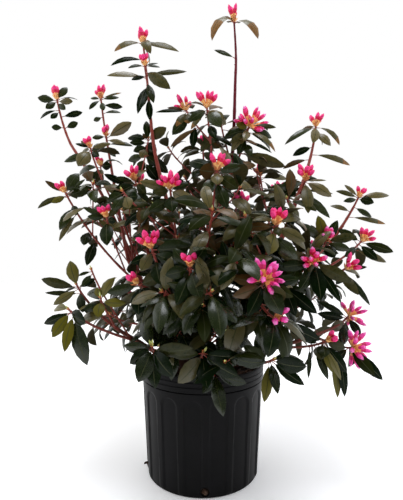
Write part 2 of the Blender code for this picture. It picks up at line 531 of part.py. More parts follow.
def grow_leaders(space, limbs):
    """One stem for each mass from its limb to its first head, then a twig to each further head."""
    grown_masses = []
    for index, (name, limb, share, heads, extra, size, droop) in enumerate(MASSES):
        rng = random.Random(1000 + index)
        tubes = []
        target = Vector(heads[0][:3])
        foot_r = 0.0031 if share < 0.999 else limbs[limb].radii[-1]
        for attempt in range(60):
            start, normal, along = limbs[limb].socket(min(1.0, share + 0.010 * (attempt % 4)) if share < 0.999
                                                      else 1.0, target)
            path = branch_path(start, normal, along, target, 0.5, 3, rng, 0.004 + 0.0012 * attempt)
            tube = Tube(path, foot_r, TIP_R, 5, normal)
            skin = swollen_tube(tube, 0.0006)
            if space.free(skin, tube.faces, (limb,)) and space.free(tube.verts, tube.faces) and in_reach(skin):
                break
        else:
            raise RuntimeError(name + " finds no free way to its head")
        tubes.append((tube, heads[0][3]))
        space.add(name, tube.verts, tube.faces)
        grown_masses.append((index, name, tubes, heads, extra, size, droop))
    for index, name, tubes, heads, extra, size, droop in grown_masses:
        for which, head in enumerate(heads[1:]):
            rng = random.Random(2000 + index * 10 + which)
            target = Vector(head[:3])
            tube = side_twig(space, name, tubes[0][0], target, rng)
            if tube is None:
                raise RuntimeError(name + " finds no free way to a further head")
            tubes.append((tube, head[3]))
    for index, name, tubes, heads, extra, size, droop in grown_masses:
        rng = random.Random(3000 + index)
        leader = tubes[0][0]
        made = 0
        for attempt in range(extra * 12):
            if made == extra:
                break
            share = rng.uniform(0.40, 0.85)
            point, tangent, _ = leader.at(leader.total * share)
            radial = Matrix.Rotation(rng.uniform(0, 2 * math.pi), 3, tangent) @ tangent.orthogonal().normalized()
            way = (tangent * 0.55 + radial + UP * 0.25).normalized()
            target = point + way * rng.uniform(0.085, 0.130)
            tube = side_twig(space, name, leader, target, rng, 1)
            if tube is not None:
                tubes.append((tube, 0 if made else 1))
                made += 1
    return grown_masses


def side_twig(space, owner, leader, target, rng, tries=24):
    """A twig sunk in its leader that heads for the target; None when every way is taken."""
    for attempt in range(tries):
        forks = []
        for k in range(2, 19):
            point, tangent, radius = leader.at(leader.total * k / 20)
            miss = abs(tangent.angle(target - point) - FORK) + rng.uniform(0, 0.10 * attempt)
            forks.append((miss, k, point, radius))
        point, radius = min(forks, key=lambda fork: fork[:2])[2:]
        chord = target - point
        wander = Vector((rng.uniform(-1, 1), rng.uniform(-1, 1), rng.uniform(-1, 1))) * 0.0015 * attempt
        end = (chord.normalized() + UP * 0.5).normalized()
        path = bezier(point, point + chord * 0.33 + wander, target - end * chord.length * 0.3 + wander, target, 2)
        tube = Tube(path, radius * 0.72, TIP_R * 0.9, 3)
        skin = swollen_tube(tube, 0.0006)
        if space.free(skin, tube.faces, (owner,)) and in_reach(skin):
            space.add(owner, tube.verts, tube.faces)
            return tube
    return None


def dress(space, grown_masses):
    """Heads first, then leaves; what would touch another piece is turned a little, or left out."""
    pieces = {name: [(t.verts, t.faces) for t, buds in tubes] for i, name, tubes, *rest in grown_masses}
    for index, name, tubes, heads, extra, size, droop in grown_masses:
        for number, (tube, buds) in enumerate(tubes):
            if number >= len(heads):
                continue
            verts, faces = head_solid(tube, index * 10 + number, buds)
            fat = swollen(verts, 0.0008)
            if space.free(fat, faces, (name,)) and in_reach(fat):
                pieces[name].append((verts, faces))
                space.add(name, verts, faces)
    for index, name, tubes, heads, extra, size, droop in grown_masses:
        for number, (tube, buds) in enumerate(tubes):
            seed = index * 10 + number
            count = WHORL + LOWER if number == 0 else WHORL if number < len(heads) else WHORL - 2
            poses = leaf_poses(tube, seed, count, size, droop, seed * 0.7, SET_LEAVES.get((name, number), ()))
            for root, way, up, length, width in poses:
                for twist in (0.0, 0.30, -0.30, 0.6, -0.6):
                    turned = Matrix.Rotation(twist, 3, tube.tangents[-1]) @ way
                    lifted = (turned + UP * 0.15 * abs(twist)).normalized()
                    verts, faces = leaf_solid(root + (way - lifted) * SUNK, lifted, up, length, width)
                    fat = swollen(verts, 0.0008)
                    fat[0] = verts[0]
                    blade = [verts[0].lerp(verts[4], 0.22)] + verts[1:]
                    if (space.free(fat, faces, (name,)) and in_reach(fat)
                            and space.free(blade, faces, tuple(n for n in pieces if n != name))):
                        pieces[name].append((verts, faces))
                        space.add(name, verts, faces)
                        break
    return pieces


# ---------------------------------------------------------------- joining a mass into one solid
def largest_body(mesh, ngons):
    """Keep the one big closed skin of a joined mesh: hollows and loose scraps go."""
    bm = bmesh.new()
    bm.from_mesh(mesh)
    bmesh.ops.triangulate(bm, faces=bm.faces[:], ngon_method=ngons)
    seen, groups = set(), []
    for face in bm.faces:
        if face in seen:
            continue
        stack, group = [face], []
        seen.add(face)
        while stack:
            one = stack.pop()
            group.append(one)
            for edge in one.edges:
                for other in edge.link_faces:
                    if other not in seen:
                        seen.add(other)
                        stack.append(other)
        groups.append(group)
    groups.sort(key=lambda g: -len(g))
    scraps = [f for g in groups[1:] for f in g]
    if scraps:
        bmesh.ops.delete(bm, geom=scraps, context="FACES")
        loose = [v for v in bm.verts if not v.link_faces]
        bmesh.ops.delete(bm, geom=loose, context="VERTS")
    sound = all(len(e.link_faces) == 2 for e in bm.edges) and bm.calc_volume(signed=True) > 0.0
    bm.to_mesh(mesh)
    bm.free()
    mesh.update()
    return sound


def join(name, parts, colour, rough):
    """One Boolean union over a collection of the mass's parts."""
    for solver, ngons in (("EXACT", "BEAUTY"), ("EXACT", "EAR_CLIP"), ("MANIFOLD", "BEAUTY")):
        base = new_object(name, *parts[0], colour, rough)
        tools = bpy.data.collections.new(name + "_parts")
        bpy.context.scene.collection.children.link(tools)
        for k, (verts, faces) in enumerate(parts[1:]):
            piece = new_object("{}_part_{}".format(name, k), verts, faces, None, rough)
            bpy.context.scene.collection.objects.unlink(piece)
            tools.objects.link(piece)
        union = base.modifiers.new("join", "BOOLEAN")
        union.operation = "UNION"
        union.operand_type = "COLLECTION"
        union.collection = tools
        union.solver = solver
        bpy.context.view_layer.update()
        apply_modifiers(base)
        for piece in list(tools.objects):
            mesh = piece.data
            bpy.data.objects.remove(piece, do_unlink=True)
            bpy.data.meshes.remove(mesh)
        bpy.data.collections.remove(tools)
        if largest_body(base.data, ngons):
            base.data.shade_smooth()
            base.data.set_sharp_from_angle(angle=math.radians(40.0))
            return base
        mesh = base.data
        bpy.data.objects.remove(base, do_unlink=True)
        bpy.data.meshes.remove(mesh)
    raise RuntimeError(name + " does not join into one closed body")


def build():
    build_pot()
    build_soil()
    space = Space()
    limbs = grow_limbs(space)
    masses = grow_leaders(space, limbs)
    for name, tube in limbs.items():
        new_object(name, tube.verts, tube.faces, (0.130, 0.040, 0.025), 0.60, 50.0)
    pieces = dress(space, masses)
    for name, *rest in MASSES:
        join(name, pieces[name], (0.035, 0.060, 0.022), 0.45)


build()
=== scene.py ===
"""Looks of a potted rhododendron in bud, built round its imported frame.

Laid out as a Blender add-on and run as a script.  Metres, +Z up; the front of the plant faces -Y.
"""
import functools
import math
import random

import bpy
from bpy.props import FloatProperty, FloatVectorProperty, IntProperty, PointerProperty
from mathutils import Matrix, Vector


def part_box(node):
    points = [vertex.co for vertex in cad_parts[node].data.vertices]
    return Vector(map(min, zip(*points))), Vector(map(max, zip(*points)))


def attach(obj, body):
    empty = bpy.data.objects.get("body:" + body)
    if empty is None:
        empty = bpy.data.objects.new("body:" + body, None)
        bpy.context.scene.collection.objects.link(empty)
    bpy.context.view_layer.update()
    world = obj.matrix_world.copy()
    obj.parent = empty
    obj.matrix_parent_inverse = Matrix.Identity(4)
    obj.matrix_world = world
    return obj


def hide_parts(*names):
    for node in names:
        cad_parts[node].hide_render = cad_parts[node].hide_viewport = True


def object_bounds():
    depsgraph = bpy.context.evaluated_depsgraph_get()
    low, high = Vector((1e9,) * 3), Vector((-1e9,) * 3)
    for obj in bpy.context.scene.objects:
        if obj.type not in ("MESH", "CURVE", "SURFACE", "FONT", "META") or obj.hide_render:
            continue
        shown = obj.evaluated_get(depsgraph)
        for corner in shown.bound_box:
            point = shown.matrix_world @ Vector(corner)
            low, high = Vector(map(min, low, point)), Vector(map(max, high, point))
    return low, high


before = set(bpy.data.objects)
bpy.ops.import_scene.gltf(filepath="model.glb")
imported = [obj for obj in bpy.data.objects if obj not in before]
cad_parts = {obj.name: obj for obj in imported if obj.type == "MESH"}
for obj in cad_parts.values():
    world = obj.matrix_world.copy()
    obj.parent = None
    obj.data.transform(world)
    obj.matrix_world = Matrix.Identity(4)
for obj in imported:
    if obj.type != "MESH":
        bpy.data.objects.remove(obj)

bl_info = {
    "name": "Potted rhododendron",
    "version": (1, 0, 0),
    "blender": (4, 5, 0),
    "location": "View3D > Sidebar > Rhododendron",
    "description": "Builds a rhododendron in bud, leaf by leaf, in its fluted nursery pot",
    "category": "Add Mesh",
}

CAD_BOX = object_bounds()
UP = Vector((0.0, 0.0, 1.0))
GOLDEN = math.radians(137.5)        # turn from one leaf to the next
FORK = math.radians(42.0)           # angle at which a twig leaves its stem
LEADER_FOOT = 0.0031                # radius where a leader leaves the side of a limb
LEADER_TIP = 0.0022
LEADER_WANDER = 0.004
TWIG_FOOT_SHARE = 0.72              # a twig's foot, as a share of its leader there
TWIG_TIP = 0.0020
POT_STAND = 0.012                   # room kept between the pot and what hangs over it
# Twigs set by chance: from and to which share of the leader, shortest and longest
TWIG_RANGE = {"twig": (0.40, 0.85, 0.085, 0.130), "fine": (0.22, 0.80, 0.060, 0.110)}

# ---------------------------------------------------------------- what the frame gives
POT_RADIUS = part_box("pot")[1].x
POT_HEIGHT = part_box("pot")[1].z
SOIL_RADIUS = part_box("soil")[1].x
SOIL_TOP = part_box("soil")[1].z
SOIL_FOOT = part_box("soil")[0].z

# name, parent, where on the parent (a share of its length) or on the soil, guide points, foot and tip radius
LIMBS = (
    ("left_stem", None, (-0.040, 0.010), ((-0.108, 0.010, 0.375), (-0.176, 0.005, 0.500)), 0.0085, 0.0058),
    ("far_left_bough", "left_stem", 0.88, ((-0.255, 0.040, 0.672), (-0.350, 0.058, 0.822)), 0.0044, 0.0034),
    ("left_top_bough", "left_stem", 1.0, ((-0.218, 0.040, 0.640), (-0.246, 0.075, 0.763)), 0.0050, 0.0034),
    ("left_centre_stem", None, (-0.018, 0.014), ((-0.052, 0.000, 0.450), (-0.085, -0.012, 0.640)),
     0.0085, 0.0056),
    ("left_spire_bough", "left_centre_stem", 1.0, ((-0.118, -0.012, 0.780), (-0.133, -0.010, 0.905)),
     0.0054, 0.0034),
    ("spire_stem", None, (0.004, 0.034),
     ((0.034, 0.034, 0.480), (0.074, 0.028, 0.760), (0.084, 0.020, 0.995)), 0.0085, 0.0034),
    ("right_centre_stem", None, (0.026, 0.004),
     ((0.112, 0.000, 0.450), (0.190, -0.012, 0.560), (0.246, -0.005, 0.700)), 0.0105, 0.0046),
    ("right_stem", None, (0.050, 0.018),
     ((0.135, 0.014, 0.365), (0.240, 0.012, 0.478), (0.335, 0.015, 0.572)), 0.0085, 0.0044),
    ("front_stem", None, (-0.006, -0.026), ((-0.014, -0.100, 0.345), (-0.010, -0.165, 0.430)),
     0.0075, 0.0048),
    ("front_right_stem", None, (0.028, -0.028), ((0.072, -0.110, 0.345), (0.108, -0.165, 0.430)),
     0.0075, 0.0050),
    ("low_left_stem", None, (-0.048, -0.022), ((-0.110, -0.085, 0.306), (-0.188, -0.100, 0.358)),
     0.0065, 0.0042),
    ("low_right_stem", None, (0.056, -0.014), ((0.130, -0.080, 0.300), (0.215, -0.100, 0.334)),
     0.0065, 0.0042),
    ("back_stem", None, (0.008, 0.062), ((0.010, 0.140, 0.400), (0.015, 0.190, 0.600)), 0.0080, 0.0050),
    ("back_left_stem", None, (-0.034, 0.050), ((-0.100, 0.130, 0.370), (-0.158, 0.180, 0.520)),
     0.0080, 0.0050),
    ("back_right_stem", None, (0.044, 0.052), ((0.115, 0.130, 0.350), (0.190, 0.172, 0.500)), 0.0080, 0.0050),
)

# name, limb, share of the limb, heads (x, y, z, flower buds), twigs, fine twigs, leaf factor, droop, tint
MASSES = (
    ("spire", "spire_stem", 1.0, ((0.080, 0.020, 1.124, 4),), 0, 0, 0.80, 0.45, "bronze"),
    ("left_spire", "left_spire_bough", 1.0, ((-0.146, -0.020, 1.047, 4), (-0.137, -0.056, 0.976, 3)),
     0, 0, 0.95, 0.45, "green"),
    ("far_left", "far_left_bough", 1.0, ((-0.387, 0.060, 0.942, 4),), 0, 0, 0.66, 0.30, "dark"),
    ("left_top", "left_top_bough", 1.0, ((-0.278, 0.090, 0.957, 4), (-0.256, 0.060, 0.845, 3)),
     0, 0, 0.66, 0.30, "dark"),
    ("left_upper", "left_stem", 0.94, ((-0.276, -0.020, 0.792, 3), (-0.258, 0.010, 0.755, 2)),
     0, 1, 0.90, 0.45, "dark"),
    ("left_outer", "left_stem", 0.80, ((-0.327, -0.050, 0.677, 2), (-0.212, -0.120, 0.612, 3)),
     1, 1, 1.00, 0.50, "green"),
    ("upper_left", "left_centre_stem", 0.74, ((-0.161, -0.050, 0.705, 6), (-0.127, -0.100, 0.639, 0),
                                            (-0.137, 0.010, 0.822, 0)), 0, 3, 1.00, 0.50, "green"),
    ("centre_left", "left_centre_stem", 0.55, ((-0.070, -0.140, 0.670, 9),), 1, 5, 1.00, 0.50, "green"),
    ("top_pair", "spire_stem", 0.52, ((0.010, -0.040, 0.882, 6), (-0.042, 0.020, 0.898, 6)),
     0, 3, 0.95, 0.45, "bronze"),
    ("top_right", "spire_stem", 0.66, ((0.116, 0.000, 0.850, 17),), 0, 2, 1.00, 0.45, "bronze"),
    ("top_right_back", "right_centre_stem", 0.66, ((0.160, 0.110, 0.750, 4),), 0, 1, 0.95, 0.45, "bronze"),
    ("centre", "front_stem", 0.80, ((0.030, -0.160, 0.705, 6),), 1, 5, 1.00, 0.50, "green"),
    ("centre_back", "spire_stem", 0.30, ((0.088, -0.100, 0.636, 4),), 1, 5, 1.00, 0.55, "green"),
    ("right_top", "right_centre_stem", 1.0, ((0.292, 0.030, 0.860, 4),), 0, 0, 0.90, 0.50, "bronze"),
    ("right_mid_top", "right_centre_stem", 0.86, ((0.235, -0.080, 0.700, 6),), 0, 3, 1.00, 0.50, "green"),
    ("right_outer_top", "right_stem", 1.0, ((0.398, 0.020, 0.676, 3),), 0, 0, 1.00, 0.55, "green"),
    ("right_outer", "right_stem", 0.66, ((0.398, 0.000, 0.563, 6), (0.329, -0.080, 0.497, 6)),
     0, 1, 1.05, 0.65, "green"),
    ("right_mid", "right_stem", 0.78, ((0.277, -0.100, 0.560, 4), (0.230, -0.165, 0.512, 7)),
     0, 4, 1.05, 0.60, "green"),
    ("front_right", "front_right_stem", 0.85, ((0.146, -0.195, 0.588, 6),), 0, 4, 1.05, 0.60, "green"),
    ("front_big", "front_right_stem", 1.0, ((0.113, -0.260, 0.480, 15), (0.136, -0.255, 0.410, 3)),
     0, 3, 1.10, 0.65, "dark"),
    ("front_centre", "front_stem", 1.0, ((-0.023, -0.260, 0.506, 3), (0.055, -0.205, 0.492, 1)),
     0, 4, 1.05, 0.60, "dark"),
    ("front_left", "front_stem", 0.62, ((-0.100, -0.215, 0.541, 8), (-0.130, -0.200, 0.470, 3)),
     0, 4, 1.05, 0.60, "dark"),
    ("low_left_high", "low_left_stem", 1.0, ((-0.289, -0.080, 0.458, 0), (-0.217, -0.150, 0.436, 0)),
     0, 0, 1.00, 0.50, "olive"),
    ("low_left_out", "low_left_stem", 0.78, ((-0.285, -0.145, 0.410, 0),), 1, 0, 1.10, 1.00, "olive"),
    ("low_left_front", "low_left_stem", 0.45, ((-0.098, -0.225, 0.350, 0),), 0, 3, 1.15, 0.70, "dark"),
    ("low_front", "front_stem", 0.36, ((0.001, -0.222, 0.338, 0), (0.028, -0.196, 0.291, 0)),
     0, 3, 1.15, 0.80, "dark"),
    ("low_front_right", "front_right_stem", 0.36, ((0.135, -0.230, 0.326, 0),), 0, 3, 1.15, 0.80, "dark"),
    ("low_right", "low_right_stem", 0.78, ((0.263, -0.150, 0.345, 3),), 0, 1, 1.10, 0.80, "dark"),
    ("low_right_out", "low_right_stem", 1.0, ((0.350, -0.040, 0.381, 11), (0.330, -0.115, 0.323, 15)),
     0, 1, 1.10, 0.75, "dark"),
    ("inner_left", "left_centre_stem", 0.36, ((-0.115, -0.105, 0.440, 0),), 1, 8, 1.05, 0.60, "dark"),
    ("inner_right", "right_centre_stem", 0.38, ((0.185, -0.095, 0.462, 0),), 1, 8, 1.05, 0.60, "dark"),
    ("back_top", "back_stem", 1.0, ((0.000, 0.150, 0.840, 5),), 1, 3, 0.95, 0.50, "green"),
    ("back_high_left", "back_left_stem", 1.0, ((-0.190, 0.200, 0.740, 5), (-0.100, 0.180, 0.650, 0)),
     0, 2, 1.00, 0.50, "green"),
    ("back_high_right", "back_right_stem", 1.0, ((0.230, 0.195, 0.715, 6), (0.130, 0.210, 0.650, 2)),
     0, 2, 1.00, 0.50, "green"),
    ("back_centre", "back_stem", 0.80, ((0.050, 0.300, 0.655, 6),), 1, 2, 1.00, 0.55, "green"),
    ("back_mid_left", "back_left_stem", 0.80, ((-0.110, 0.300, 0.570, 5),), 1, 2, 1.05, 0.55, "dark"),
    ("back_mid_right", "back_right_stem", 0.80, ((0.165, 0.300, 0.560, 6),), 1, 2, 1.05, 0.55, "dark"),
    ("back_left_out", "back_left_stem", 0.66, ((-0.240, 0.200, 0.665, 4),), 1, 1, 1.05, 0.55, "green"),
    ("back_right_out", "back_right_stem", 0.66, ((0.330, 0.180, 0.540, 6),), 1, 1, 1.05, 0.55, "green"),
    ("back_low", "back_stem", 0.38, ((0.010, 0.290, 0.400, 0), (0.085, 0.250, 0.340, 0)),
     0, 3, 1.10, 0.70, "dark"),
    ("back_low_left", "back_left_stem", 0.42, ((-0.215, 0.215, 0.400, 1), (-0.125, 0.265, 0.350, 0)),
     0, 2, 1.10, 0.70, "dark"),
    ("back_low_right", "back_right_stem", 0.40, ((0.240, 0.200, 0.385, 1), (0.315, 0.090, 0.420, 0)),
     0, 2, 1.10, 0.70, "dark"),
    ("left_side_low", "left_stem", 0.40, ((-0.245, 0.060, 0.372, 1),), 1, 1, 1.05, 0.60, "green"),
)

# Thin shoots that fan out bare from the left stem: radius at foot and tip; share of the stem, tip of each
FAN_RADII = (0.0018, 0.0013)
FAN = ((0.95, (-0.264, -0.020, 0.618)), (0.965, (-0.244, 0.010, 0.628)), (0.985, (-0.216, -0.030, 0.650)),
       (0.995, (-0.176, -0.036, 0.656)), (0.98, (-0.150, -0.016, 0.638)))

# Twigs cut away again where the bush is open, by their numbers in each mass
PRUNED = {"top_right": (2,), "top_pair": (4,), "right_mid_top": (1, 3), "right_mid": (2, 4),
          "right_outer": (2,), "left_upper": (2,), "left_outer": (3,), "left_side_low": (2,),
          "upper_left": (3, 4, 5), "inner_right": (7, 9), "front_big": (2, 3), "low_right": (1,),
          "low_right_out": (2,), "low_left_front": (1,), "low_front_right": (2, 3),
          "back_high_left": (2,), "back_high_right": (3,), "back_left_out": (2,)}

# Shoots that carry the listed leaves and no others
SPARE = {"spire": (0,), "left_spire": (0, 1), "far_left": (0,), "left_top": (0, 1), "right_top": (0,),
         "right_outer_top": (0,), "low_left_out": (1,), "centre_left": (1,), "low_right": (0,),
         "back_left_out": (1,)}
